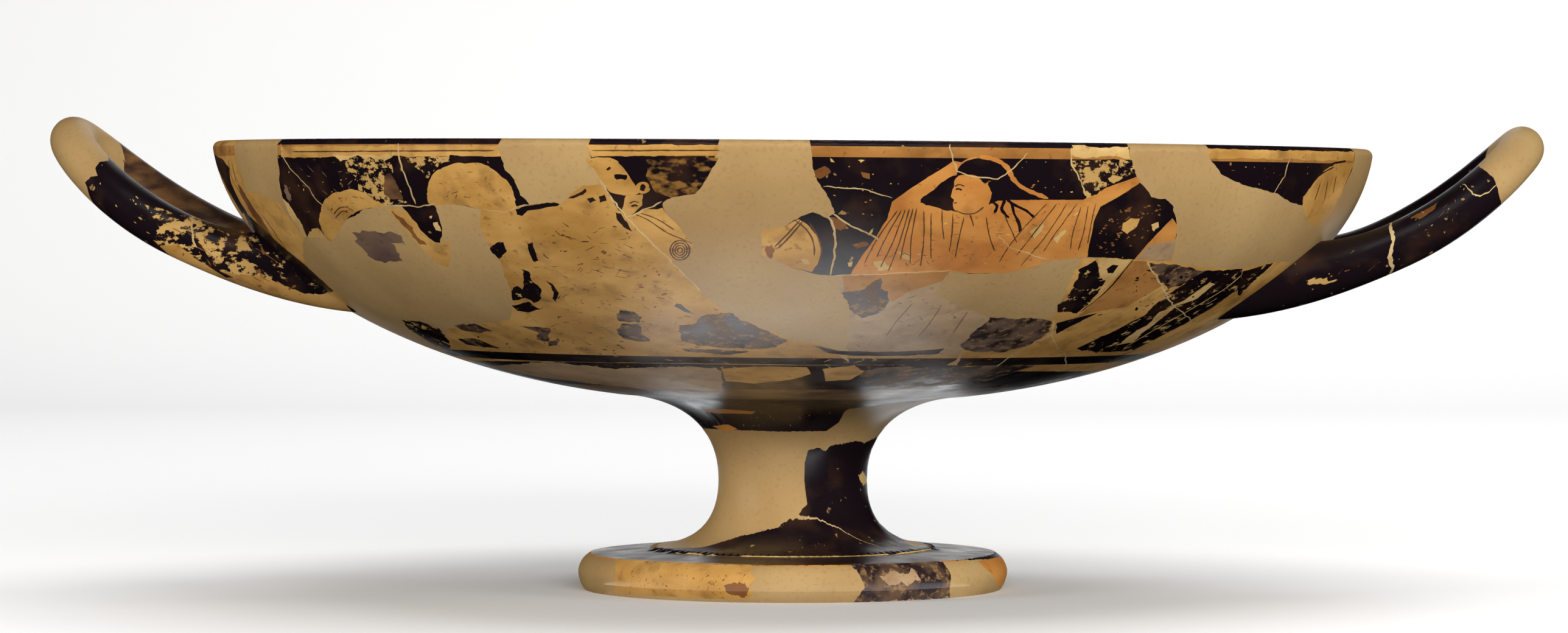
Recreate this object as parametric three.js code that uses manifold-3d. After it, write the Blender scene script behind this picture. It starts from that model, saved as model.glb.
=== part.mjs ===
// An ancient Greek painted drinking cup (kylix): a wide, shallow bowl that runs in one curve into a
// short stem and a disc foot, with two upswept loop handles. It is fired clay, luted together wet,
// so the whole cup is one solid. Millimetres, +Z up, handles along X, and the origin at the centre
// of the ring that the foot rests on.
import * as THREE from "three";
import { mergeVertices } from "three/addons/utils/BufferGeometryUtils.js";
import Module from "manifold-3d";

// Driving dimensions of the turned body.
const RIM_RADIUS = 159.8;
const RIM_HEIGHT = 122.3;
const UNDERSIDE = { radius: 50, height: 54 }; // where the bowl's curve hands over to the stem's
const WAIST = { radius: 20.6, height: 30 };
const COLLAR = { radius: 39, height: 11.8 }; // low step where the stem's flare meets the foot disc
const COLLAR_STEP = 0.7;
const FOOT_RADIUS = 59.5;
const FOOT_TOP = { radius: 56.2, height: 10 };
const RESTING_RING = { inner: 46, outer: 57.8 };

// Pulls that shape the curves between those places.
const BOWL_PULLS = { lip: { radius: 154, height: 85.7 }, stem: { radius: 104.2, height: 60.4 } };
const UPPER_FLARE_PULLS = { bowl: { radius: 28.1, height: 52.8 }, waistHeight: 42.8 };
const LOWER_FLARE_PULLS = { waistHeight: 20.4, foot: { radius: 24.8, height: 12.6 } };
const FOOT_BULGE = [
  { setBack: 1.2, height: 8.2 },
  { setBack: 0, height: 5.2 },
  { setBack: 0.6, height: 2 },
];

// Wall of the bowl, and the hollows above and below.
const LIP_WALL = 3.8;
const FLOOR_WALL = 7.4;
const FLOOR_HEIGHT = 60.4; // inside of the bowl, on the axis
const UNDERCUT = { radius: 23, height: 2.2 }; // the underside dishes up towards the hollow of the stem
const STEM_HOLLOW = { mouth: 19, mouthHeight: 2.6, top: 7, topHeight: 38, apex: 43 };

// The loop handles: rod radii along the loop, and the centre line's place.
const ROD_RADIUS = { tip: 6, side: 6.3, root: 11.2 };
const HANDLE_HALF_WIDTH = 36;
const HANDLE_START = { reach: 108, height: 87 }; // inside the bowl, where the rods are cut off
const HANDLE_TIP = { reach: 200.9, height: 123.4 };
const HANDLE_RISE_POWER = 2.7; // the side view curves up towards the tip
const ROOT_END = 165; // reach at which the roots' thickening has died away

// The bowl was set a little out of true on its stem: it drops towards +X.
const BOWL_LEAN = Math.tan(THREE.MathUtils.degToRad(0.43));
const LEAN_START = 12;
const LEAN_FULL = 48;

// Facets.
const AROUND = 72;
const BOWL_STEPS = 11;
const STEM_STEPS = 6;
const LIP_STEPS = 4;
const EDGE_STEPS = 5;
const ROD_SIDES = 12;
const ROD_STEPS = 36;

const CLAY = new THREE.MeshStandardMaterial({ color: 0xa08356, roughness: 0.5, metalness: 0 });

const point = (radius, height) => new THREE.Vector2(radius, height);
const wallAt = (radius) => THREE.MathUtils.lerp(FLOOR_WALL, LIP_WALL, radius / RIM_RADIUS);

// Outside of the bowl, from under the lip to the top of the stem.
const lipRadius = LIP_WALL / 2;
const bowlCurve = new THREE.CubicBezierCurve(
  point(RIM_RADIUS, RIM_HEIGHT - lipRadius),
  point(BOWL_PULLS.lip.radius, BOWL_PULLS.lip.height),
  point(BOWL_PULLS.stem.radius, BOWL_PULLS.stem.height),
  point(UNDERSIDE.radius, UNDERSIDE.height),
);

// The stem's two flares, above and below its waist.
const upperFlare = new THREE.CubicBezierCurve(
  point(UNDERSIDE.radius, UNDERSIDE.height),
  point(UPPER_FLARE_PULLS.bowl.radius, UPPER_FLARE_PULLS.bowl.height),
  point(WAIST.radius, UPPER_FLARE_PULLS.waistHeight),
  point(WAIST.radius, WAIST.height),
);
const lowerFlare = new THREE.CubicBezierCurve(
  point(WAIST.radius, WAIST.height),
  point(WAIST.radius, LOWER_FLARE_PULLS.waistHeight),
  point(LOWER_FLARE_PULLS.foot.radius, LOWER_FLARE_PULLS.foot.height),
  point(COLLAR.radius, COLLAR.height),
);

// The foot disc's rounded edge, from its top down to the resting ring.
const footEdge = new THREE.SplineCurve([
  point(FOOT_TOP.radius, FOOT_TOP.height),
  ...FOOT_BULGE.map(({ setBack, height }) => point(FOOT_RADIUS - setBack, height)),
  point(RESTING_RING.outer, 0),
]);

// A point at a share of the wall's depth inwards from the bowl's outside, at share t along its curve.
function insideWall(t, depth) {
  const onOutside = bowlCurve.getPoint(t);
  const along = bowlCurve.getTangent(t);
  const inwards = point(along.y, -along.x);
  return onOutside.addScaledVector(inwards, wallAt(onOutside.x) * depth);
}

// The bowl's inside, from the axis up to the lip, at a share of the wall's depth.
function insideProfile(depth, floorHeight) {
  const points = [point(0, floorHeight)];
  for (let i = BOWL_STEPS; i >= 0; i -= 1) points.push(insideWall(i / BOWL_STEPS, depth));
  return points;
}

// A half round over the lip, from its inside edge to its outside edge.
function lipProfile() {
  const inner = insideWall(0, 1);
  const outer = bowlCurve.getPoint(0);
  const centre = inner.clone().add(outer).multiplyScalar(0.5);
  const points = [];
  for (let i = 1; i < LIP_STEPS; i += 1) {
    points.push(inner.clone().rotateAround(centre, (-Math.PI * i) / LIP_STEPS));
  }
  return points;
}

// The whole section of the turned body, from the hollow of the stem round to the bowl's floor.
function bodyProfile() {
  const downwards = [
    ...insideProfile(1, FLOOR_HEIGHT),
    ...lipProfile(),
    ...bowlCurve.getPoints(BOWL_STEPS),
    ...upperFlare.getPoints(STEM_STEPS).slice(1),
    ...lowerFlare.getPoints(STEM_STEPS).slice(1),
    point(COLLAR.radius + COLLAR_STEP, COLLAR.height - COLLAR_STEP),
    ...footEdge.getPoints(EDGE_STEPS),
    point(RESTING_RING.inner, 0),
    point(UNDERCUT.radius, UNDERCUT.height),
    point(STEM_HOLLOW.mouth, STEM_HOLLOW.mouthHeight),
    point(STEM_HOLLOW.top, STEM_HOLLOW.topHeight),
    point(0, STEM_HOLLOW.apex),
  ];
  return downwards.reverse();
}

// A profile turned about +Z.
function turned(profile) {
  return new THREE.LatheGeometry(profile, AROUND).rotateX(Math.PI / 2);
}

// The centre line of one handle: straight limbs, joined by a half circle in plan, rising to the tip.
class HandleLine extends THREE.Curve {
  getPoint(t, target = new THREE.Vector3()) {
    const bendStart = HANDLE_TIP.reach - HANDLE_HALF_WIDTH;
    const limb = bendStart - HANDLE_START.reach;
    const bend = Math.PI * HANDLE_HALF_WIDTH;
    const run = t * (2 * limb + bend);
    let reach = HANDLE_START.reach + Math.min(run, 2 * limb + bend - run);
    let side = run < limb ? -HANDLE_HALF_WIDTH : HANDLE_HALF_WIDTH;
    if (run > limb && run < limb + bend) {
      const turn = (run - limb) / HANDLE_HALF_WIDTH;
      reach = bendStart + HANDLE_HALF_WIDTH * Math.sin(turn);
      side = -HANDLE_HALF_WIDTH * Math.cos(turn);
    }
    const share = (reach - HANDLE_START.reach) / (HANDLE_TIP.reach - HANDLE_START.reach);
    const rise = HANDLE_TIP.height - HANDLE_START.height;
    const height = HANDLE_START.height + rise * share ** HANDLE_RISE_POWER;
    return target.set(reach, side, height);
  }
}

// The rod's radius at a distance out from the cup's axis: thick at the roots, slimmer at the tip.
function rodRadius(reach) {
  const atRoot = THREE.MathUtils.smoothstep(ROOT_END - reach, 0, ROOT_END - HANDLE_START.reach);
  const atTip = THREE.MathUtils.smoothstep(reach, ROOT_END, HANDLE_TIP.reach);
  const plain = THREE.MathUtils.lerp(ROD_RADIUS.side, ROD_RADIUS.tip, atTip);
  return THREE.MathUtils.lerp(plain, ROD_RADIUS.root, atRoot);
}

// The handle's rod: a unit section swept along the line, then thickened about it.
function handleRod() {
  const line = new HandleLine();
  const section = new THREE.Shape();
  section.absarc(0, 0, 1, 0, 2 * Math.PI);
  const rod = new THREE.ExtrudeGeometry(section, {
    steps: ROD_STEPS,
    extrudePath: line,
    curveSegments: ROD_SIDES / 2,
  });
  const centres = line.getSpacedPoints(ROD_STEPS);
  const position = rod.getAttribute("position");
  const vertex = new THREE.Vector3();
  for (let i = 0; i < position.count; i += 1) {
    vertex.fromBufferAttribute(position, i);
    const nearest = centres.reduce((best, centre) =>
      centre.distanceToSquared(vertex) < best.distanceToSquared(vertex) ? centre : best,
    );
    vertex.sub(nearest).multiplyScalar(rodRadius(nearest.x)).add(nearest);
    position.setXYZ(i, vertex.x, vertex.y, vertex.z);
  }
  return rod;
}

// Drops the bowl and handles towards +X and leaves the foot level.
function lean(geometry) {
  const position = geometry.getAttribute("position");
  for (let i = 0; i < position.count; i += 1) {
    const share = THREE.MathUtils.smoothstep(position.getZ(i), LEAN_START, LEAN_FULL);
    position.setZ(i, position.getZ(i) - BOWL_LEAN * position.getX(i) * share);
  }
  return geometry;
}

const wasm = await Module();
wasm.setup();
const MERGE_DISTANCE = 1e-3;

// A closed geometry as a solid that can be joined and cut.
function solid(geometry) {
  const bare = geometry.clone();
  bare.deleteAttribute("normal");
  bare.deleteAttribute("uv");
  const merged = mergeVertices(bare, MERGE_DISTANCE);
  return new wasm.Manifold(
    new wasm.Mesh({
      numProp: 3,
      vertProperties: merged.getAttribute("position").array,
      triVerts: new Uint32Array(merged.index.array),
    }),
  );
}

// A solid back as a geometry.
function geometryOf(made) {
  const mesh = made.getMesh();
  const geometry = new THREE.BufferGeometry();
  geometry.setAttribute("position", new THREE.BufferAttribute(mesh.vertProperties, 3));
  geometry.setIndex(new THREE.BufferAttribute(mesh.triVerts, 1));
  geometry.computeVertexNormals();
  return geometry;
}

// The body with its two handles, each cut off inside the bowl's wall.
function cup() {
  const wallCore = insideProfile(0.5, UNDERSIDE.height);
  const core = solid(turned([...wallCore, point(0, RIM_HEIGHT)]));
  let made = solid(turned(bodyProfile()));
  for (const side of [0, Math.PI]) {
    made = made.add(solid(handleRod().rotateZ(side)).subtract(core));
  }
  return lean(geometryOf(made));
}

const kylix = new THREE.Mesh(cup(), CLAY);
kylix.name = "kylix_cup";

const part = new THREE.Group();
part.add(kylix);

export default part;
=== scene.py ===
import math

import bmesh
import bpy
import numpy as np
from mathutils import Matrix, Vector, noise
from mathutils.geometry import delaunay_2d_cdt


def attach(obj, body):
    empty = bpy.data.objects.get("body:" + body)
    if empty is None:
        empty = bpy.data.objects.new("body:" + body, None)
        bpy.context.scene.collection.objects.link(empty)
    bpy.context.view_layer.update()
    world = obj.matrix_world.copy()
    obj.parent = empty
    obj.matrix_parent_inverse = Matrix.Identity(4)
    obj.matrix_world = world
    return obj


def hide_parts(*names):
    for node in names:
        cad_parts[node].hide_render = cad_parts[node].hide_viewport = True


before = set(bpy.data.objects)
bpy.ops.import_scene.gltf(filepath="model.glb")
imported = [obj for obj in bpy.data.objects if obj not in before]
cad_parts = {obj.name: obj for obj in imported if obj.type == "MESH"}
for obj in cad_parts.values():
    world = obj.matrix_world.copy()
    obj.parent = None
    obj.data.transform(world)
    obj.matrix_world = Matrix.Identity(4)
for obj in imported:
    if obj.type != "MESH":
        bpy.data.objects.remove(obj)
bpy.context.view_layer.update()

# The cup's own sizes, in millimetres, as in the solid.
RIM_RADIUS = 159.8
RIM_HEIGHT = 122.3
LIP_WALL = 3.8
FLOOR_WALL = 7.4
LIP_EDGE = (RIM_RADIUS, RIM_HEIGHT - LIP_WALL / 2)
BOWL_PULLS = ((154, 85.7), (104.2, 60.4))
BOWL_END = (50, 54)
UPPER_FLARE_PULLS = ((28.1, 52.8), (20.6, 42.8))
WAIST = (20.6, 30)
LOWER_FLARE_PULLS = ((20.6, 20.4), (24.8, 12.6))
COLLAR_TOP = (39, 11.8)
COLLAR_FOOT = (39.7, 11.1)
FOOT_EDGE = ((57.8, 0), (58.9, 2), (59.5, 5.2), (58.3, 8.2), (56.2, 10))
RESTING_RING_INNER = (46, 0)
UNDERCUT = (23, 2.2)
HOLLOW_MOUTH = (19, 2.6)
HOLLOW_TOP = (7, 38)
HOLLOW_TIP = (1.5, 41.9)
HOLLOW_APEX = (0, 43)
FLOOR_DIP = (3.0, 58.6)  # the bowl's inside runs out smoothly to here

ROD_TIP, ROD_SIDE, ROD_ROOT = 6.0, 6.3, 11.2
HANDLE_HALF_WIDTH = 36
HANDLE_START = (108, 87)
HANDLE_TIP = (200.9, 123.4)
HANDLE_RISE_POWER = 2.7
ROOT_END = 165

BOWL_LEAN = math.tan(math.radians(0.43))
LEAN_START, LEAN_FULL = 12, 48

MM = 0.001
SNUG = 0.9996  # keeps the round forms inside the faceted solid's box

# The camera: a little below the rim, and a little round towards the right handle.
PHOTO_WIDTH, PHOTO_HEIGHT = 2576, 1040  # pixels
CAMERA_DISTANCE = 1500
CAMERA_AZIMUTH = math.radians(3.0)
CAMERA_HEIGHT = 107
CAMERA_AIM = (-2.4, 0, 75.3)
FOCAL_PIXELS = 8889
SENSOR_WIDTH = 36
CLIP_END = 50  # metres

# How outlines are carried from the picture onto the cup, and how fine they are.
BODY_PIXELS, HANDLE_PIXELS = 14, 12  # longest step between points, in pixels
PROBE = 0.05  # millimetres of chart, to find slopes
NEWTON_STEPS, LONGEST_MOVE, LEAST_SLOPE = 8, 6, 1e-3
OFF_FORM = 1.5  # pixels; what misses by more keeps its nearest sample
PAST_SIDE = 0.35  # millimetres of chart for each pixel off the body
OUTLINE_STEP, LINE_STEP = 0.9, 1.2  # longest step of a finished outline or line, in millimetres
WANDERS = ((0.22, 1.0), (0.75, 0.6), (2.0, 0.35))  # scale and share of each part of the edges' wander
EDGE_SEED = 7
noise.seed_set(EDGE_SEED)  # so that the edges wander the same way each time
EDGE_GAP = 0.3  # outlines stop this short of a chart's edge
RIM_CATCH = 0.5  # sherds that come this near the lip run over it
FOLD_WIDTH, FOLD_BOW, FOLD_SHORTENING = 0.24, 0.03, 0.12
STROKE_UNEVEN, STROKE_TIP = 0.5, 0.3  # shares of a line's width
SPOT_CORNERS, RING_CORNERS = 9, 36
SHOWN_TURN = math.radians(100)  # how far round the picture shows the body, to either side
BODY_GRID, HANDLE_GRID = (221, 260), (300, 90)
SIDE_STEPS = 400
BAND_COLUMNS = 241
ROD_COLUMNS, LOOP_ROWS, ROOT_CORNERS, ROOT_SEARCH = 41, 90, 65, 240


def smoothstep(value, low, high):
    """0 below low, 1 above high, and smooth between."""
    share = np.clip((np.asarray(value, float) - low) / (high - low), 0, 1)
    return share * share * (3 - 2 * share)


def bezier(start, pull_a, pull_b, end, steps=160):
    """Points of a cubic curve with two pulls."""
    t = np.linspace(0, 1, steps + 1)[:, None]
    a, b, c, d = (np.array(p, float) for p in (start, pull_a, pull_b, end))
    return (1 - t) ** 3 * a + 3 * (1 - t) ** 2 * t * b + 3 * (1 - t) * t * t * c + t**3 * d


def rounded(points, steps=8, closed=False):
    """A smooth line through the points."""
    p = np.array(points, float)
    ends = (p[-1:], p[:2]) if closed else (p[:1], p[-1:])
    padded = np.concatenate([ends[0], p, ends[1]])
    t = np.linspace(0, 1, steps, endpoint=False)[:, None]
    spans = []
    for a, b, c, d in zip(padded, padded[1:], padded[2:], padded[3:]):
        pull_out, pull_in = (c - a) / 2, (d - b) / 2
        spans.append(
            (2 * t**3 - 3 * t * t + 1) * b + (t**3 - 2 * t * t + t) * pull_out
            + (3 * t * t - 2 * t**3) * c + (t**3 - t * t) * pull_in
        )
    line = np.concatenate(spans)
    return line if closed else np.concatenate([line, p[-1:]])


def lean(points):
    """The bowl and handles drop towards +X, and the foot stays level."""
    moved = np.array(points, float)
    moved[:, 2] -= BOWL_LEAN * moved[:, 0] * smoothstep(moved[:, 2], LEAN_START, LEAN_FULL)
    return moved


# The turned body's section, from the hollow of the stem round the outside to the bowl's floor.
def wall_offset(curve, depth):
    """The bowl's curve moved inwards by a share of the wall."""
    along = np.gradient(curve, axis=0)
    along /= np.linalg.norm(along, axis=1)[:, None]
    wall = FLOOR_WALL + (LIP_WALL - FLOOR_WALL) * curve[:, 0] / RIM_RADIUS
    inwards = np.stack([along[:, 1], -along[:, 0]], axis=1)
    return curve + inwards * (wall * depth)[:, None]


BOWL_OUTSIDE = bezier(LIP_EDGE, *BOWL_PULLS, BOWL_END, steps=400)
BOWL_INSIDE = wall_offset(BOWL_OUTSIDE, 1.0)
BOWL_CORE = wall_offset(BOWL_OUTSIDE, 0.5)


def lip_round(steps=40):
    """A half round over the lip, from its outside edge to its inside edge."""
    outer, inner = BOWL_OUTSIDE[0], BOWL_INSIDE[0]
    centre = (outer + inner) / 2
    arm = outer - centre
    turn = np.linspace(0, math.pi, steps + 1)[:, None]
    across = np.array([-arm[1], arm[0]])
    return centre + arm * np.cos(turn) + across * np.sin(turn)


# Each stretch of the section: its line, the spacing of its rows and the points around.
STRETCHES = {
    "tip": (np.array([HOLLOW_TIP, HOLLOW_TOP], float), 3.0, 48),
    "hollow": (np.array([HOLLOW_TOP, HOLLOW_MOUTH], float), 5.0, 48),
    "undercut": (np.array([HOLLOW_MOUTH, UNDERCUT], float), 2.0, 72),
    "dish": (np.array([UNDERCUT, RESTING_RING_INNER], float), 5.0, 72),
    "ring": (np.array([RESTING_RING_INNER, FOOT_EDGE[0]], float), 4.0, 144),
    "foot_edge": (rounded(FOOT_EDGE, 24), 0.9, 160),
    "foot_top": (np.array([FOOT_EDGE[-1], COLLAR_FOOT], float), 2.5, 144),
    "collar": (np.array([COLLAR_FOOT, COLLAR_TOP], float), 0.5, 144),
    "lower_flare": (bezier(WAIST, *LOWER_FLARE_PULLS, COLLAR_TOP)[::-1], 1.8, 112),
    "upper_flare": (bezier(BOWL_END, *UPPER_FLARE_PULLS, WAIST)[::-1], 1.8, 112),
    "bowl": (BOWL_OUTSIDE[::-1], 3.0, 210),
    "lip": (lip_round(), 0.55, 210),
    "inside": (BOWL_INSIDE, 4.0, 180),
    "floor": (bezier(BOWL_INSIDE[-1], (38, 58.9), (20, FLOOR_DIP[1]), FLOOR_DIP), 4.0, 72),
}
CORNER_ROW = 0.35  # a row this near each end of a stretch keeps its edges crisp


def run_lengths(line):
    """How far along a line each of its points lies."""
    return np.concatenate([[0], np.cumsum(np.linalg.norm(np.diff(line, axis=0), axis=1))])


def laid_out():
    """The span of each stretch along the section, the section's points and their runs."""
    spans, lines, runs, start = {}, [], [], 0.0
    for name, (line, _, _) in STRETCHES.items():
        run = run_lengths(line)
        spans[name] = (start, start + run[-1])
        lines.append(line[:-1])
        runs.append(start + run[:-1])
        start += run[-1]
    lines.append(STRETCHES["floor"][0][-1:])
    runs.append([start])
    return spans, np.concatenate(lines), np.concatenate(runs)


SPANS, SECTION, SECTION_RUN = laid_out()
SECTION_LENGTH = SECTION_RUN[-1]
LIP_MIDDLE = sum(SPANS["lip"]) / 2

# On the body's chart, x is the angle round the axis times this, and y the run along the section.
CHART_RADIUS = 110.0
SEAM = math.pi * CHART_RADIUS


def body_points(chart):
    """Places on the turned body, in millimetres, for points of its chart."""
    angle = chart[:, 0] / CHART_RADIUS
    radius = np.interp(chart[:, 1], SECTION_RUN, SECTION[:, 0])
    height = np.interp(chart[:, 1], SECTION_RUN, SECTION[:, 1])
    return lean(np.stack([radius * np.sin(angle), -radius * np.cos(angle), height], axis=1))


# The camera's own axes, to carry outlines between the picture plane and the cup.
CAMERA_PLACE = np.array([
    CAMERA_DISTANCE * math.sin(CAMERA_AZIMUTH),
    -CAMERA_DISTANCE * math.cos(CAMERA_AZIMUTH),
    CAMERA_HEIGHT,
])


def unit(vector):
    return vector / np.linalg.norm(vector)


FORWARD = unit(np.array(CAMERA_AIM) - CAMERA_PLACE)
RIGHT = unit(np.cross(FORWARD, (0, 0, 1)))
UPWARD = np.cross(RIGHT, FORWARD)


def picture(points):
    """Where places on the cup fall in the picture, in pixels."""
    offset = points - CAMERA_PLACE
    depth = offset @ FORWARD
    x = PHOTO_WIDTH / 2 + FOCAL_PIXELS * (offset @ RIGHT) / depth
    y = PHOTO_HEIGHT / 2 - FOCAL_PIXELS * (offset @ UPWARD) / depth
    return np.stack([x, y], axis=1)


def newton_move(to_points, chart, here, miss):
    """The step on the chart that should make up for the miss in the picture."""
    along_x = (picture(to_points(chart + (PROBE, 0))) - here) / PROBE
    along_y = (picture(to_points(chart + (0, PROBE))) - here) / PROBE
    cross = along_x[:, 0] * along_y[:, 1] - along_x[:, 1] * along_y[:, 0]
    cross = np.where(np.abs(cross) < LEAST_SLOPE, LEAST_SLOPE, cross)
    move_x = (miss[:, 0] * along_y[:, 1] - miss[:, 1] * along_y[:, 0]) / cross
    move_y = (along_x[:, 0] * miss[:, 1] - along_x[:, 1] * miss[:, 0]) / cross
    return np.clip(np.stack([move_x, move_y], axis=1), -LONGEST_MOVE, LONGEST_MOVE)


def chart_from_picture(pixels, to_points, samples):
    """The points of a chart that fall on these pixels: the nearest sample, then Newton's steps."""
    pixels = np.array(pixels, float)
    seen = picture(to_points(samples))
    found = np.array([samples[np.argmin(((seen - p) ** 2).sum(axis=1))] for p in pixels])
    nearest, best, best_error = found.copy(), found.copy(), np.full(len(pixels), np.inf)
    for _ in range(NEWTON_STEPS):
        here = picture(to_points(found))
        miss = pixels - here
        error = np.linalg.norm(miss, axis=1)
        better = error < best_error
        best[better], best_error[better] = found[better], error[better]
        found = found + newton_move(to_points, found, here, miss)
    off = best_error > OFF_FORM
    best[off] = nearest[off]
    return best


def facing_samples(x, y, to_points, step):
    """Points of a grid on a chart, where the surface faces the camera."""
    grid = np.stack(np.meshgrid(x, y), axis=-1).reshape(-1, 2)
    place = to_points(grid)
    along_x = to_points(grid + (step, 0)) - place
    along_y = to_points(grid + (0, step)) - place
    facing = np.einsum("ij,ij->i", np.cross(along_x, along_y), CAMERA_PLACE - place)
    return grid[facing > 0]


def body_samples():
    """Points of the body's chart all over the side that the picture shows."""
    reach = SHOWN_TURN * CHART_RADIUS
    x = np.linspace(-reach, reach, BODY_GRID[0])
    y = np.linspace(SPANS["foot_edge"][0], LIP_MIDDLE, BODY_GRID[1])
    return facing_samples(x, y, body_points, 4 * PROBE)


BODY_SAMPLES = body_samples()


def divide(points, longest, closed=True):
    """The outline with points added, so that no side is longer than this."""
    p = np.array(points, float)
    ends = np.roll(p, -1, axis=0) if closed else p[1:]
    line = []
    for a, b in zip(p, ends):
        count = max(1, int(math.ceil(np.linalg.norm(b - a) / longest)))
        line.extend(a + (b - a) * k / count for k in range(count))
    if not closed:
        line.append(p[-1])
    return np.array(line)


def body_side(sign):
    """The body's silhouette on one side, from the lip down: its pixels and its chart."""
    runs = np.linspace(LIP_MIDDLE, SPANS["foot_edge"][0], SIDE_STEPS)
    radius = np.interp(runs, SECTION_RUN, SECTION[:, 0])
    turn = CAMERA_AZIMUTH + sign * np.arccos(radius / CAMERA_DISTANCE)
    chart = np.stack([CHART_RADIUS * turn, runs], axis=1)
    pixels = picture(body_points(chart))
    pixels[:, 1] = np.maximum.accumulate(pixels[:, 1])
    return pixels, chart


BODY_SIDES = {sign: body_side(sign) for sign in (-1, 1)}


def past_side(pixels, chart):
    """Carries pixels off the body past its silhouette, the farther off the farther round."""
    for sign, (edge, edge_chart) in BODY_SIDES.items():
        column = np.interp(pixels[:, 1], edge[:, 1], edge[:, 0])
        over = sign * (pixels[:, 0] - column)
        off = over > 0
        turn = np.interp(pixels[off, 1], edge[:, 1], edge_chart[:, 0])
        chart[off, 0] = turn + sign * PAST_SIDE * over[off]
        chart[off, 1] = np.interp(pixels[off, 1], edge[:, 1], edge_chart[:, 1])
    return chart


def spots_on_body(pixels):
    """The body's points that fall on these pixels."""
    return chart_from_picture(pixels, body_points, BODY_SAMPLES)


def on_body(pixels, closed=True):
    """The chart's points on a line or outline of the picture."""
    pixels = divide(pixels, BODY_PIXELS, closed)
    return past_side(pixels, spots_on_body(pixels))


def ragged(chart, amount):
    """Moves points by a wander that depends on the place alone, so that shared edges stay shared."""
    moved = chart.copy()
    for k, (x, y) in enumerate(chart):
        for scale, share in WANDERS:
            wander = noise.noise_vector(Vector((x * scale, y * scale, 10 * scale)))
            moved[k] += amount * share * np.array((wander.x, wander.y))
    return moved


def stroke(chart, width):
    """A line of the chart drawn out to a width, pointed at its ends."""
    along = np.gradient(chart, axis=0)
    along /= np.maximum(np.linalg.norm(along, axis=1), 1e-9)[:, None]
    side = np.stack([-along[:, 1], along[:, 0]], axis=1)
    uneven = [noise.noise(Vector((x, y, 3.7))) for x, y in chart]
    half = width / 2 * (1 + STROKE_UNEVEN * np.array(uneven))
    half[[0, -1]] *= STROKE_TIP
    left, right = chart + side * half[:, None], chart - side * half[:, None]
    return np.concatenate([left, right[::-1]])


def inside_of(polygon, points):
    """Which points lie inside a polygon."""
    low, high = polygon.min(axis=0), polygon.max(axis=0)
    near = np.flatnonzero(np.all((points >= low) & (points <= high), axis=1))
    hits = np.zeros(len(points), bool)
    if not len(near):
        return hits
    x, y = points[near, 0], points[near, 1]
    odd = np.zeros(len(near), bool)
    for (xa, ya), (xb, yb) in zip(polygon, np.roll(polygon, -1, axis=0)):
        if ya == yb:
            continue
        crosses = (ya > y) != (yb > y)
        odd ^= crosses & (x < (xb - xa) * (y - ya) / (yb - ya) + xa)
    hits[near] = odd
    return hits


# Paints, in the order of the mesh's material slots.
PAINTS = (
    "fill", "slip", "mottled", "chipped", "flaked", "rubbed", "thin", "rust",
    "clay", "band", "gold", "dull", "pale", "wash", "crack", "line",
)
SLOT = {paint: k for k, paint in enumerate(PAINTS)}
# How far each paint's edge wanders, in millimetres.
RAGGEDNESS = {
    "fill": 0.2, "slip": 0.45, "mottled": 0.4, "chipped": 0.7, "flaked": 0.7, "rubbed": 0.9,
    "thin": 0.6, "rust": 0.9, "clay": 0.15, "band": 0.15, "gold": 0.4, "dull": 1.0,
    "pale": 0.7, "wash": 1.3, "crack": 0.45, "line": 0.08,
}

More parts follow.
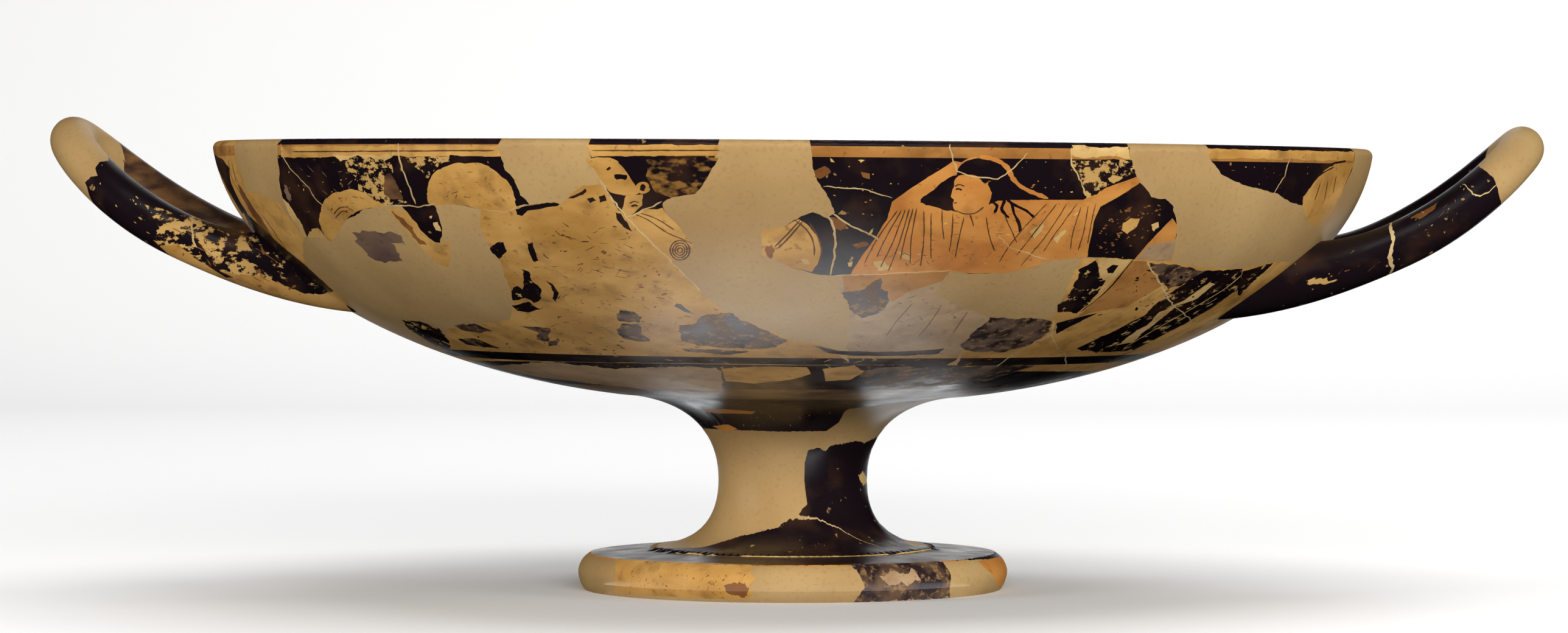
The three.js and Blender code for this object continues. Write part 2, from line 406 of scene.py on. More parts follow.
# Sherds and fills of the side that is shown, in pixels of the picture.
SHERDS = {
    "front fill": ("fill", [
        (330, 200), (2290, 215), (2290, 300), (2060, 540), (1900, 600), (1304, 600), (740, 592), (560, 510),
        (330, 300),
    ]),
    "left edge": ("gold", [
        (330, 200), (383, 200), (386, 262), (398, 292), (404, 314), (428, 320), (456, 332), (478, 362),
        (498, 390), (497, 420), (508, 442), (524, 464), (575, 496), (540, 510), (430, 440), (340, 290),
    ]),
    "black sherd": ("slip", [
        (452, 200), (820, 200), (822, 256), (830, 278), (843, 296), (856, 320), (868, 336), (850, 341),
        (832, 347), (790, 344), (760, 336), (713, 336), (722, 358), (726, 376), (722, 397), (714, 398),
        (690, 376), (668, 346), (660, 338), (630, 339), (597, 343), (590, 351), (570, 359), (556, 373),
        (549, 392), (503, 391), (488, 370), (474, 345), (463, 322), (459, 300),
    ]),
    "worn body": ("gold", [
        (790, 344), (832, 347), (850, 341), (868, 336), (900, 332), (922, 334), (940, 318), (958, 304),
        (984, 301), (1001, 320), (1028, 357), (1062, 390), (1104, 430), (1140, 470), (1182, 505),
        (1240, 535), (1300, 556), (1360, 570), (1400, 600), (740, 592), (728, 560), (736, 540), (790, 531),
        (838, 524), (845, 500), (836, 470), (822, 430), (800, 400), (788, 372),
    ]),
    "head sherd": ("slip", [
        (960, 200), (1190, 200), (1186, 240), (1174, 260), (1160, 284), (1150, 308), (1140, 317),
        (1104, 324), (1088, 332), (1091, 348), (1106, 362), (1124, 384), (1138, 402), (1136, 413),
        (1118, 423), (1100, 428), (1062, 390), (1028, 357), (1012, 340), (1001, 320), (986, 290),
        (972, 262),
    ]),
    "shield sherd": ("slip", [
        (1312, 357), (1334, 348), (1362, 358), (1370, 380), (1374, 400), (1370, 428), (1364, 452),
        (1334, 448), (1298, 439), (1264, 422), (1250, 420), (1251, 378), (1290, 372),
    ]),
    "right sherd": ("slip", [
        (1324, 200), (1857, 200), (1857, 270), (1868, 292), (1878, 312), (1892, 323), (1914, 326),
        (1926, 338), (1928, 352), (1935, 370), (1929, 402), (1925, 428), (1884, 428), (1860, 425),
        (1786, 422), (1724, 428), (1700, 438), (1660, 448), (1600, 449), (1560, 446), (1500, 447),
        (1440, 452), (1364, 452), (1370, 428), (1374, 400), (1370, 380), (1364, 356), (1374, 349),
        (1358, 318), (1345, 298), (1335, 266),
    ]),
    "hem": ("dull", [
        (1384, 453), (1440, 452), (1560, 446), (1548, 462), (1541, 482), (1566, 500), (1596, 512),
        (1628, 522), (1604, 545), (1586, 572), (1560, 600), (1392, 600), (1392, 560), (1396, 510),
        (1388, 480), (1376, 466),
    ]),
    "lower right": ("gold", [
        (1776, 424), (1860, 425), (1925, 430), (1992, 440), (2042, 441), (2096, 430), (2120, 430),
        (2040, 540), (1900, 610), (1570, 610), (1584, 572), (1604, 545), (1628, 522), (1728, 524),
        (1742, 500), (1758, 462),
    ]),
    "upper right": ("slip", [
        (1974, 200), (2228, 200), (2226, 262), (2222, 278), (2205, 316), (2186, 352), (2160, 374),
        (2148, 362), (2140, 338), (2124, 333), (2094, 318), (2040, 303), (2010, 288), (1990, 264),
        (1984, 250),
    ]),
}

# What is painted on them, or worn from them, one over the other.
DETAILS = {
    "rim gold left": ("gold", [(462, 241), (640, 239), (821, 238), (822, 256), (640, 257), (462, 259)]),
    "rim gold middle": ("gold", [(966, 238), (1186, 238), (1178, 256), (972, 256)]),
    "rim gold right": ("gold", [(1984, 244), (2226, 249), (2224, 264), (1988, 260)]),
    "rim grey": ("pale", [(1760, 240), (1856, 241), (1857, 258), (1762, 257)]),
    "left edge streak": ("slip", [
        (345, 250), (366, 262), (376, 276), (379, 300), (396, 336), (406, 350), (398, 352), (374, 312),
    ]),
    "left edge rub": ("rust", [
        (390, 300), (402, 318), (424, 350), (450, 392), (440, 392), (412, 350), (394, 318),
    ]),
    "handle shadow": ("slip", [
        (398, 344), (432, 376), (468, 408), (506, 440), (548, 478), (530, 484), (470, 440), (420, 396),
    ]),
    "left pale edge": ("pale", [
        (464, 326), (474, 336), (490, 361), (505, 390), (498, 389), (483, 364), (470, 342),
    ]),
    "left streak": ("wash", [(468, 306), (473, 310), (480, 330), (478, 336), (471, 322)]),
    "left shield foot": ("pale", [(504, 391), (512, 376), (520, 372), (536, 392)]),
    "flaked top": ("pale", [
        (545, 255), (560, 265), (574, 260), (590, 268), (610, 262), (640, 264), (652, 255),
    ]),
    "flaked field": ("flaked", [
        (566, 262), (590, 258), (624, 260), (644, 270), (650, 300), (667, 332), (630, 338), (606, 326),
        (590, 312), (584, 292), (570, 282),
    ]),
    "brown patch": ("thin", [(629, 289), (640, 284), (650, 300), (661, 327), (640, 326), (630, 320)]),
    "big shield flake": ("flaked", [
        (664, 257), (746, 257), (738, 264), (722, 271), (712, 284), (705, 297), (694, 282), (678, 270),
    ]),
    "loose patch": ("wash", [
        (581, 382), (600, 379), (640, 380), (656, 384), (664, 402), (644, 398), (652, 412), (662, 428),
        (640, 430), (630, 432), (612, 426), (598, 411), (588, 402),
    ]),
    "streak": ("gold", [
        (634, 340), (668, 346), (690, 376), (714, 398), (736, 396), (741, 420), (734, 440), (716, 432),
        (690, 405), (668, 380), (650, 360),
    ]),
    "streak rub": ("rust", [(644, 346), (660, 356), (684, 388), (704, 404), (690, 402), (664, 374)]),
    "sherd chip a": ("pale", [(707, 353), (711, 355), (710, 359), (706, 358)]),
    "sherd chip b": ("pale", [(712, 368), (720, 366), (724, 380), (716, 378)]),
    "body top stroke": ("slip", [
        (849, 344), (868, 338), (900, 332), (919, 334), (917, 338), (890, 342), (866, 346), (858, 356),
        (850, 353),
    ]),
    "crest fleck": ("slip", [
        (933, 324), (944, 320), (952, 318), (962, 308), (964, 313), (954, 322), (940, 326),
    ]),
    "crest spot a": ("slip", [(965, 326), (974, 322), (980, 328), (970, 334)]),
    "crest spot b": ("slip", [(984, 322), (995, 320), (997, 330), (986, 333)]),
    "body flake a": ("chipped", [(802, 406), (826, 397), (830, 412), (821, 426), (812, 418)]),
    "body flake b": ("slip", [(866, 401), (875, 399), (879, 414), (885, 428), (876, 430), (869, 412)]),
    "body flake c": ("chipped", [
        (856, 440), (868, 446), (878, 464), (888, 474), (887, 490), (876, 496), (862, 489), (845, 494),
        (839, 478), (850, 469), (862, 476), (860, 462),
    ]),
    "body flake d": ("chipped", [(840, 501), (868, 496), (886, 508), (866, 514), (850, 511)]),
    "body flake e": ("slip", [(898, 460), (907, 466), (917, 482), (912, 495), (907, 490), (910, 480)]),
    "body flake f": ("rubbed", [
        (1012, 522), (1020, 511), (1040, 511), (1056, 522), (1053, 529), (1020, 529),
    ]),
    "body flake g": ("rubbed", [
        (1010, 541), (1022, 532), (1048, 532), (1055, 549), (1070, 562), (1026, 557),
    ]),
    "body flake h": ("slip", [
        (1010, 347), (1018, 351), (1030, 366), (1039, 380), (1026, 373), (1013, 360),
    ]),
    "body flake i": ("rubbed", [(1113, 497), (1128, 505), (1143, 515), (1128, 513), (1115, 507)]),
    "lower flake a": ("rubbed", [(746, 534), (780, 532), (808, 543), (790, 547), (758, 542)]),
    "lower flake b": ("rubbed", [(752, 556), (780, 556), (822, 572), (790, 570), (762, 565)]),
    "lower flake c": ("rubbed", [(856, 536), (906, 539), (902, 562), (880, 557), (886, 547)]),
    "lower flake d": ("rubbed", [(900, 562), (918, 556), (914, 566), (904, 570)]),
    "lower left black": ("chipped", [
        (662, 526), (690, 528), (722, 540), (738, 560), (742, 580), (716, 570), (690, 552), (670, 540),
    ]),
    "lower wash": ("rubbed", [
        (1114, 534), (1142, 531), (1152, 518), (1200, 514), (1226, 530), (1252, 540), (1292, 557),
        (1276, 571), (1230, 573), (1150, 568), (1118, 560),
    ]),
    "lower wash rim": ("rubbed", [(1120, 572), (1180, 574), (1240, 578), (1190, 582), (1130, 578)]),
    "head ground": ("mottled", [
        (1062, 262), (1180, 259), (1168, 280), (1150, 308), (1140, 317), (1104, 324), (1076, 316),
        (1062, 290),
    ]),
    "under helmet": ("slip", [(1006, 316), (1030, 320), (1032, 334), (1022, 346), (1010, 332)]),
    "neck": ("gold", [(1030, 321), (1056, 319), (1055, 338), (1030, 357), (1020, 347)]),
    "arm": ("gold", [
        (1030, 357), (1056, 345), (1088, 340), (1091, 348), (1106, 362), (1124, 384), (1138, 402),
        (1136, 413), (1118, 423), (1100, 428), (1062, 390),
    ]),
    "shield fragment": ("gold", [
        (1251, 378), (1290, 372), (1312, 360), (1328, 370), (1342, 388), (1350, 408), (1346, 430),
        (1334, 446), (1298, 439), (1264, 422), (1250, 420),
    ]),
    "fragment rub": ("rust", [(1258, 404), (1270, 398), (1274, 410), (1266, 424), (1258, 420)]),
    "fragment chip": ("pale", [(1317, 427), (1328, 427), (1329, 436), (1319, 436)]),
    "rust a": ("rust", [(1340, 280), (1354, 276), (1362, 284), (1350, 294), (1340, 290)]),
    "rust b": ("rust", [(1416, 282), (1430, 284), (1434, 294), (1420, 292)]),
    "rust c": ("rust", [(1366, 356), (1384, 358), (1394, 372), (1380, 378), (1368, 370)]),
    "rust d": ("rust", [(1398, 402), (1416, 396), (1424, 402), (1408, 412)]),
    "ground chip a": ("pale", [(1361, 263), (1367, 264), (1366, 269), (1362, 268)]),
    "ground chip b": ("pale", [(1407, 262), (1420, 263), (1414, 266)]),
    "ground chip c": ("pale", [(1424, 384), (1437, 376), (1436, 381), (1428, 387)]),
    "ground chip d": ("pale", [(1396, 430), (1403, 428), (1402, 437), (1397, 437)]),
    "cloak": ("clay", [
        (1396, 452), (1418, 418), (1440, 388), (1456, 362), (1466, 332), (1486, 316), (1516, 296),
        (1546, 278), (1566, 264), (1586, 268), (1576, 286), (1566, 292), (1520, 326), (1512, 332),
        (1550, 340), (1572, 348), (1600, 346), (1640, 330), (1660, 328), (1740, 328), (1780, 328),
        (1812, 310), (1868, 290), (1874, 300), (1846, 318), (1808, 340), (1798, 362), (1792, 392),
        (1786, 422), (1724, 428), (1700, 438), (1660, 448), (1600, 449), (1560, 446), (1440, 452),
    ]),
    "cloak corner": ("clay", [
        (1926, 358), (1935, 370), (1929, 402), (1925, 428), (1864, 426), (1886, 400),
    ]),
    "corner shade": ("dull", [(1890, 400), (1930, 396), (1925, 428), (1866, 426)]),
    "panel": ("slip", [
        (1812, 340), (1846, 318), (1874, 300), (1892, 323), (1914, 326), (1926, 338), (1928, 352),
        (1880, 396), (1850, 384), (1812, 392), (1800, 370),
    ]),
    "panel chip a": ("gold", [
        (1846, 366), (1858, 358), (1872, 360), (1868, 372), (1852, 384), (1844, 378),
    ]),
    "panel chip b": ("pale", [(1892, 370), (1903, 366), (1904, 376), (1894, 381)]),
    "band flakes": ("flaked", [
        (1762, 262), (1857, 262), (1862, 282), (1840, 297), (1808, 312), (1787, 326), (1778, 302),
        (1766, 286),
    ]),
    "cloak rub a": ("pale", [(1694, 380), (1712, 364), (1716, 372), (1700, 392)]),
    "cloak rub b": ("pale", [(1732, 392), (1750, 374), (1752, 380), (1738, 398)]),
    "cloak rub c": ("pale", [(1434, 430), (1452, 428), (1466, 440), (1444, 444)]),
    "cloak rub d": ("pale", [(1474, 412), (1490, 414), (1500, 430), (1482, 424)]),
    "lower black a": ("chipped", [
        (1776, 440), (1796, 427), (1802, 436), (1808, 452), (1816, 462), (1800, 486), (1772, 514),
        (1738, 514), (1744, 496), (1756, 488), (1768, 462),
    ]),
    "lower chip": ("pale", [(1800, 425), (1858, 425), (1838, 450), (1804, 482), (1816, 462), (1806, 446)]),
    "lower chip spot": ("slip", [(1820, 442), (1830, 434), (1838, 436), (1830, 448), (1822, 448)]),
    "lower brown": ("band", [
        (1884, 430), (1860, 428), (1806, 490), (1770, 520), (1800, 512), (1850, 504), (1908, 470),
    ]),
    "far grey": ("rubbed", [
        (1888, 432), (1940, 436), (1990, 448), (1980, 460), (1950, 462), (1918, 474), (1906, 462),
    ]),
    "diagonal black": ("chipped", [
        (1768, 573), (1800, 557), (1832, 543), (1880, 518), (1912, 488), (1950, 462), (1982, 446),
        (2042, 441), (2036, 474), (2000, 500), (1950, 530), (1900, 556), (1862, 576), (1800, 579),
    ]),
    "diagonal strip": ("pale", [
        (1838, 566), (1866, 544), (1884, 534), (1904, 514), (1946, 494), (1990, 462), (1996, 466),
        (1960, 494), (1934, 502), (1908, 524), (1880, 544), (1862, 562),
    ]),
    "far black": ("chipped", [(2042, 446), (2094, 431), (2060, 462), (2034, 488), (2036, 466)]),
    "lower black b": ("rubbed", [
        (1578, 571), (1600, 546), (1628, 522), (1700, 523), (1727, 527), (1724, 546), (1690, 568),
        (1650, 578), (1600, 579),
    ]),
    "lower black c": ("slip", [(1735, 530), (1804, 514), (1762, 534), (1734, 549)]),
    "hem top": ("band", [
        (1384, 453), (1440, 452), (1560, 446), (1548, 462), (1490, 480), (1466, 496), (1450, 478),
        (1420, 473), (1388, 482),
    ]),
    "hem black": ("rubbed", [
        (1388, 482), (1420, 473), (1448, 456), (1450, 478), (1466, 494), (1440, 515), (1418, 524),
        (1398, 512),
    ]),
    "hem sliver": ("slip", [
        (1336, 568), (1380, 576), (1440, 578), (1500, 577), (1552, 572), (1540, 582), (1470, 585),
        (1400, 584), (1360, 580),
    ]),
    "under worn": ("dull", [
        (800, 602), (900, 594), (1010, 606), (1110, 602), (1180, 604), (1190, 628), (1180, 646),
        (1060, 640), (900, 622),
    ]),
    "under worn b": ("rubbed", [
        (1400, 604), (1560, 602), (1700, 600), (1620, 626), (1480, 640), (1420, 630),
    ]),
    "under tan": ("gold", [
        (1186, 606), (1240, 602), (1326, 603), (1332, 614), (1300, 624), (1240, 630), (1192, 626),
    ]),
    "under tan b": ("gold", [(1352, 606), (1404, 600), (1420, 610), (1396, 624), (1356, 626)]),
    "far shield": ("gold", [
        (2140, 338), (2142, 322), (2158, 300), (2178, 278), (2200, 266), (2225, 268), (2205, 316),
        (2186, 352), (2160, 374), (2148, 362),
    ]),
    "ring streak a": ("clay", [(1148, 674), (1190, 672), (1242, 676), (1236, 680), (1180, 679)]),
    "ring streak b": ("clay", [(1170, 700), (1196, 697), (1212, 705), (1190, 709)]),
    "stem chip": ("pale", [(1410, 782), (1418, 774), (1426, 790), (1418, 797)]),
}

# Forms with flowing edges.
ROUND_DETAILS = {
    "left shield": ("gold", [
        (536, 392), (526, 370), (524, 352), (529, 336), (543, 321), (562, 313), (586, 312), (602, 320),
        (616, 330), (632, 339), (597, 343), (570, 359), (549, 392),
    ]),
    "big shield": ("gold", [
        (706, 336), (703, 312), (706, 296), (716, 282), (732, 274), (752, 268), (776, 267), (796, 270),
        (816, 282), (832, 298), (842, 314), (849, 341), (832, 347), (790, 344), (760, 336),
    ]),
    "helmet": ("gold", [
        (962, 259), (1002, 259), (1018, 268), (1032, 286), (1046, 306), (1050, 318), (1026, 320),
        (1004, 316), (990, 300), (976, 276),
    ]),
    "wedge": ("slip", [
        (1514, 331), (1534, 314), (1552, 296), (1572, 287), (1570, 306), (1564, 326), (1568, 346),
    ]),
    "head": ("clay", [
        (1571, 292), (1567, 306), (1562, 322), (1567, 328), (1565, 334), (1568, 344), (1580, 350),
        (1600, 352), (1622, 340), (1630, 310), (1622, 286), (1596, 278),
    ]),
    "hair": ("slip", [
        (1570, 288), (1580, 272), (1602, 264), (1630, 266), (1650, 276), (1660, 292), (1650, 302),
        (1630, 296), (1618, 302), (1606, 290), (1588, 286),
    ]),
    "curl": ("slip", [(1624, 300), (1640, 298), (1648, 312), (1640, 326), (1630, 318)]),
}

# Drawn lines: paint, width in millimetres, and the lines in pixels.
LINES = {
    "rim line": ("line", 0.35, [
        [(480, 249), (640, 248), (812, 247)], [(972, 247), (1080, 247), (1184, 247)],
    ]),
    "shield rings": ("line", 0.3, [
        [(548, 352), (557, 342), (568, 340), (580, 346)], [(552, 356), (562, 347), (572, 349)],
        [(1330, 366), (1344, 390), (1350, 414), (1340, 444)],
        [(1306, 362), (1324, 376), (1336, 396), (1338, 420)],
    ]),
    "shield straps": ("line", 0.4, [
        [(1314, 362), (1294, 384), (1272, 406)], [(1318, 364), (1298, 388), (1278, 408)],
    ]),
    "helmet slit": ("slip", 1.2, [[(1009, 291), (1020, 290), (1030, 292)]]),
    "helmet stud": ("slip", 1.0, [[(998, 276), (1002, 278)]]),
    "brow": ("line", 0.35, [
        [(1034, 334), (1042, 331), (1050, 333)], [(1568, 306), (1576, 303), (1584, 306)],
    ]),
    "eyes": ("slip", 0.5, [
        [(1037, 339), (1043, 337), (1047, 339)], [(1570, 311), (1575, 310), (1580, 312)],
    ]),
    "lips": ("line", 0.3, [[(1566, 333), (1572, 333)]]),
    "jaw": ("line", 0.3, [
        [(1570, 345), (1584, 351), (1602, 350), (1616, 340)], [(1594, 352), (1600, 372)],
    ]),
    "sleeve": ("line", 0.3, [
        [(1044, 352), (1066, 362), (1096, 382), (1124, 394), (1137, 400)],
        [(1052, 350), (1080, 360), (1108, 378)],
    ]),
    "ribbon": ("clay", 1.0, [
        [(1609, 257), (1635, 262), (1654, 274), (1665, 294), (1684, 310), (1722, 326)],
    ]),
    "hair edge": ("clay", 0.45, [[(1569, 288), (1574, 274), (1588, 263), (1606, 258)]]),
    "locks": ("slip", 0.55, [
        [(1634, 318), (1630, 330), (1638, 338), (1634, 350)],
        [(1644, 318), (1650, 330), (1646, 344), (1658, 358)],
        [(1648, 322), (1662, 334), (1666, 350), (1674, 366), (1676, 382)],
        [(1654, 328), (1670, 338), (1686, 346), (1700, 358)],
    ]),
    "far rim": ("slip", 0.5, [
        [(2124, 332), (2140, 308), (2160, 286), (2186, 270), (2212, 264)],
        [(2132, 336), (2148, 310), (2168, 288), (2192, 274)],
    ]),
    "far streaks": ("rust", 0.5, [
        [(2170, 300), (2160, 330)], [(2182, 296), (2176, 330)], [(2196, 288), (2190, 318)],
    ]),
    "edge streaks": ("pale", 0.5, [
        [(384, 262), (388, 284), (396, 306)], [(392, 286), (402, 316), (424, 352)],
        [(404, 320), (440, 372), (470, 400)],
    ]),
    "left streaks": ("rust", 0.6, [
        [(374, 262), (382, 296), (398, 322)], [(380, 266), (388, 300)], [(430, 352), (470, 410)],
    ]),
    "panel edge": ("slip", 0.4, [[(1862, 426), (1820, 476), (1776, 512)]]),
    "diagonal line": ("pale", 0.5, [[(1846, 572), (1900, 540), (1960, 506), (2010, 476), (2040, 452)]]),
    "collar": ("pale", 0.45, [
        [(1110, 908), (1200, 913), (1304, 915), (1400, 914), (1480, 909), (1530, 902)],
    ]),
}

# Folds of the dress: top left, top right, bottom left and bottom right of each fan, and how many lines.
FOLDS = {
    "sleeve fan": ((1474, 346), (1500, 342), (1412, 446), (1474, 448), 5),
    "sleeve edge": ((1506, 342), (1530, 350), (1494, 446), (1530, 444), 3),
    "breast": ((1548, 344), (1584, 356), (1552, 400), (1566, 440), 3),
    "back": ((1720, 334), (1770, 334), (1630, 444), (1700, 434), 4),
    "back edge": ((1776, 340), (1800, 336), (1756, 420), (1784, 416), 3),
    "shoulder": ((1620, 356), (1650, 352), (1636, 420), (1676, 410), 2),
    "hem": ((1500, 498), (1590, 512), (1450, 560), (1560, 556), 3),
}

# Small losses and scratches strewn over an area: paint, area in pixels, how many, size and drawn-out length.
BODY_FIELD = [(850, 370), (1010, 360), (1110, 470), (1200, 540), (870, 560)]
CLOAK_FIELD = [(1420, 430), (1560, 350), (1780, 340), (1770, 415), (1570, 440)]
RIGHT_GROUND = [(1345, 262), (1540, 262), (1470, 330), (1420, 400), (1380, 440), (1376, 340)]
STREWN = {
    "body scratches": ("line", BODY_FIELD, 130, 0.12, 9),
    "body flecks": ("line", BODY_FIELD, 50, 0.22, 1.5),
    "body rubs": ("rust", [(880, 380), (1020, 380), (1120, 480), (1160, 540), (960, 560)], 30, 0.3, 2.5),
    "shield scratches": ("rust", [(712, 290), (770, 272), (830, 310), (836, 340), (720, 330)], 24, 0.12, 6),
    "left shield rubs": ("rust", [(530, 350), (560, 318), (610, 328), (560, 360)], 14, 0.15, 5),
    "lower flecks": (
        "slip", [(760, 545), (1000, 560), (1240, 560), (1280, 582), (800, 582)], 50, 0.32, 2.5,
    ),
    "left chips": ("pale", [(466, 262), (560, 262), (640, 330), (560, 350), (500, 360)], 10, 0.15, 2),
    "left scratches": ("wash", [(466, 262), (560, 262), (600, 300), (540, 330), (500, 360)], 16, 0.12, 7),
    "right chips": ("gold", RIGHT_GROUND, 16, 0.16, 1.5),
    "upper chips": ("gold", [(1665, 262), (1755, 262), (1775, 315), (1690, 320)], 14, 0.16, 1.5),
    "far chips": ("gold", [(2000, 266), (2180, 266), (2130, 322), (2060, 302)], 14, 0.16, 1.5),
    "panel chips": ("rust", [(1812, 345), (1916, 335), (1870, 415), (1800, 415)], 50, 0.3, 1.8),
    "cloak scratches": ("rust", CLOAK_FIELD, 60, 0.12, 6),
    "cloak scuffs": ("pale", CLOAK_FIELD, 16, 0.2, 3),
    "hem scratches": (
        "line", [(1400, 530), (1500, 480), (1600, 520), (1570, 575), (1400, 575)], 40, 0.12, 7,
    ),
    "far flecks": ("slip", [(1880, 440), (2060, 450), (1960, 510), (1840, 540), (1800, 520)], 50, 0.4, 2.5),
    "foot flecks": ("rust", [(1020, 932), (1232, 940), (1222, 976), (1020, 966)], 60, 0.2, 3),
    "foot top chips": ("dull", [(1080, 900), (1300, 870), (1500, 900), (1300, 918)], 22, 0.18, 2),
    "stem chips": ("rust", [(1332, 750), (1410, 740), (1420, 860), (1345, 845)], 10, 0.2, 1.5),
    "ring chips": ("gold", [(1150, 660), (1380, 660), (1360, 702), (1170, 700)], 22, 0.25, 4),
    "under chips": ("gold", [(900, 590), (1560, 590), (1560, 612), (900, 612)], 30, 0.3, 5),
}

# The stem and the top of the foot, on the same layer as the sherds, and the foot's edge over them.
STEM_PAINT = {
    "stem fill": ("fill", [
        (900, 680), (1050, 690), (1160, 704), (1200, 706), (1280, 709), (1358, 708), (1378, 694),
        (1388, 676), (1394, 672), (1480, 660), (1700, 640), (1700, 900), (1060, 900), (900, 900),
    ]),
    "stem black": ("slip", [
        (1328, 738), (1348, 736), (1356, 741), (1366, 732), (1410, 724), (1420, 728), (1440, 718),
        (1500, 718), (1500, 910), (1440, 912), (1376, 868), (1340, 850), (1312, 846), (1318, 836),
        (1326, 828), (1321, 790), (1322, 760),
    ]),
    "foot black": ("slip", [
        (1040, 912), (1160, 898), (1220, 880), (1276, 867), (1296, 853), (1342, 853), (1376, 868),
        (1440, 900), (1660, 890), (1660, 918), (1540, 921), (1304, 926), (1120, 920),
    ]),
}
FOOT_PAINT = {
    "foot orange": ("gold", [
        (1012, 918), (1240, 928), (1232, 940), (1243, 950), (1230, 962), (1238, 976), (1226, 986),
        (1010, 976),
    ]),
    "foot brown": ("rubbed", [
        (1394, 926), (1548, 922), (1562, 945), (1560, 982), (1400, 990), (1420, 966), (1412, 942),
    ]),
    "foot brown heart": ("dull", [
        (1446, 948), (1462, 938), (1480, 943), (1500, 938), (1514, 950), (1498, 961), (1480, 955),
        (1460, 964),
    ]),
    "foot orange rub": ("rust", [(1190, 962), (1216, 956), (1232, 966), (1222, 982), (1196, 976)]),
    "foot edge chip": ("clay", [(1606, 922), (1646, 914), (1660, 940), (1640, 968), (1632, 946)]),
}

# Pale joins between sherds: width in millimetres, then the line in pixels.
CRACKS = {
    "left join": (0.28, [
        (461, 236), (462, 254), (480, 280), (508, 308), (516, 326), (536, 345), (556, 366),
    ]),
    "left join b": (0.34, [(652, 236), (656, 262), (668, 296), (682, 334)]),
    "left join c": (0.37, [(628, 338), (660, 337), (690, 338), (716, 334)]),
    "body join": (0.25, [(790, 343), (830, 349), (852, 339), (870, 336)]),
    "head join": (0.34, [(984, 294), (1004, 324), (1028, 357), (1062, 390), (1104, 430), (1150, 478)]),
    "arm join": (0.31, [(1028, 357), (1056, 345), (1086, 330)]),
    "shield join": (0.43, [(1364, 356), (1371, 380), (1372, 410), (1369, 430), (1364, 452)]),
    "right join a": (0.28, [(1354, 306), (1404, 309), (1437, 316), (1469, 325)]),
    "right join b": (0.4, [(1370, 350), (1404, 374), (1436, 388), (1442, 394)]),
    "right join c": (0.28, [(1364, 452), (1440, 451), (1500, 447), (1560, 445)]),
    "right join d": (0.28, [
        (1562, 236), (1565, 262), (1572, 280), (1600, 290), (1640, 294), (1662, 276), (1690, 250),
    ]),
    "right join e": (0.31, [(1759, 243), (1762, 270), (1776, 298), (1784, 322)]),
    "right join f": (0.22, [(1640, 386), (1664, 410), (1700, 420), (1724, 427)]),
    "far join": (0.31, [(1884, 430), (1908, 470), (1926, 500), (1958, 526)]),
    "far join b": (0.31, [(2119, 262), (2112, 288), (2102, 304), (2092, 320)]),
    "lower join": (0.37, [(1732, 524), (1728, 550), (1700, 562), (1660, 586), (1638, 602)]),
    "lower join b": (0.31, [(1728, 550), (1738, 572), (1752, 584), (1750, 602)]),
    "foot join": (0.43, [(1312, 848), (1342, 852), (1376, 867), (1414, 888), (1452, 900)]),
}

# The round ornaments: middle in pixels, radii of their rings in pixels, line width in millimetres and paint.
ROUNDELS = {
    "ear ring": ((1056, 308), (8,), 0.7, "gold"),
    "cuff": ((1117, 411), (4, 8, 12, 16), 0.35, "line"),
}

# The handles: fills right round the rod as runs along the loop, then paint and joins in pixels.
HANDLE_FILLS = {
    1: [("fill", 96.0, 134.0)],
    # On the left handle the brown over the far limb is partly worn slip on bare clay and partly painted
    # shade, where the loop's far side lies in shade.
    -1: [("thin", 0.5, 94.0), ("fill", 86.0, 151.0)],
}
HANDLE_PAINT = {
    1: {
        "tip fill": ("fill", [
            (2424, 270), (2440, 280), (2454, 292), (2462, 312), (2467, 336), (2476, 344), (2520, 300),
            (2536, 250), (2526, 216), (2490, 204), (2450, 240),
        ]),
        "bare streak": ("pale", [(2146, 462), (2160, 457), (2198, 458), (2190, 463), (2156, 466)]),
        "brown rub": ("rust", [(2318, 358), (2340, 344), (2362, 332), (2356, 345), (2330, 360)]),
    },
    -1: {
        "tip fill": ("fill", [
            (163, 266), (156, 276), (160, 288), (148, 290), (138, 302), (136, 316), (140, 330), (110, 300),
            (88, 240), (100, 204), (130, 192), (160, 226), (176, 250), (178, 264),
        ]),
        "bare limb": ("flaked", [
            (240, 338), (262, 342), (300, 354), (400, 356), (410, 372), (430, 400), (470, 430), (520, 480),
            (470, 486), (400, 470), (330, 440), (262, 402), (250, 392), (262, 374),
        ]),
        "bare underside": ("gold", [
            (262, 404), (290, 400), (320, 424), (352, 444), (400, 452), (440, 456), (480, 474), (560, 484),
            (580, 520), (460, 500), (380, 480), (300, 440),
        ]),
        "root black": ("chipped", [
            (398, 372), (412, 380), (436, 404), (466, 432), (504, 458), (546, 484), (500, 482), (468, 470),
            (436, 448), (412, 428), (396, 424), (412, 414), (404, 396),
        ]),
        "island a": ("slip", [
            (340, 368), (356, 364), (378, 368), (384, 384), (382, 402), (374, 400), (376, 384), (352, 374),
        ]),
        "island b": ("slip", [
            (318, 392), (332, 404), (342, 424), (362, 446), (384, 456), (370, 456), (346, 440), (328, 416),
        ]),
    },
}
HANDLE_CRACKS = {
    1: {
        "join": (0.8, [(2281, 352), (2286, 380), (2290, 396), (2283, 420), (2288, 440), (2278, 464)]),
        "tip join": (0.35, [(2403, 302), (2420, 318), (2432, 322), (2446, 316), (2460, 302)]),
    },
    -1: {
        "join": (0.6, [(318, 352), (314, 372), (318, 396), (320, 404)]),
    },
}
RIGHT_LIMB = [(2160, 450), (2280, 370), (2400, 300), (2440, 330), (2300, 440), (2160, 480)]
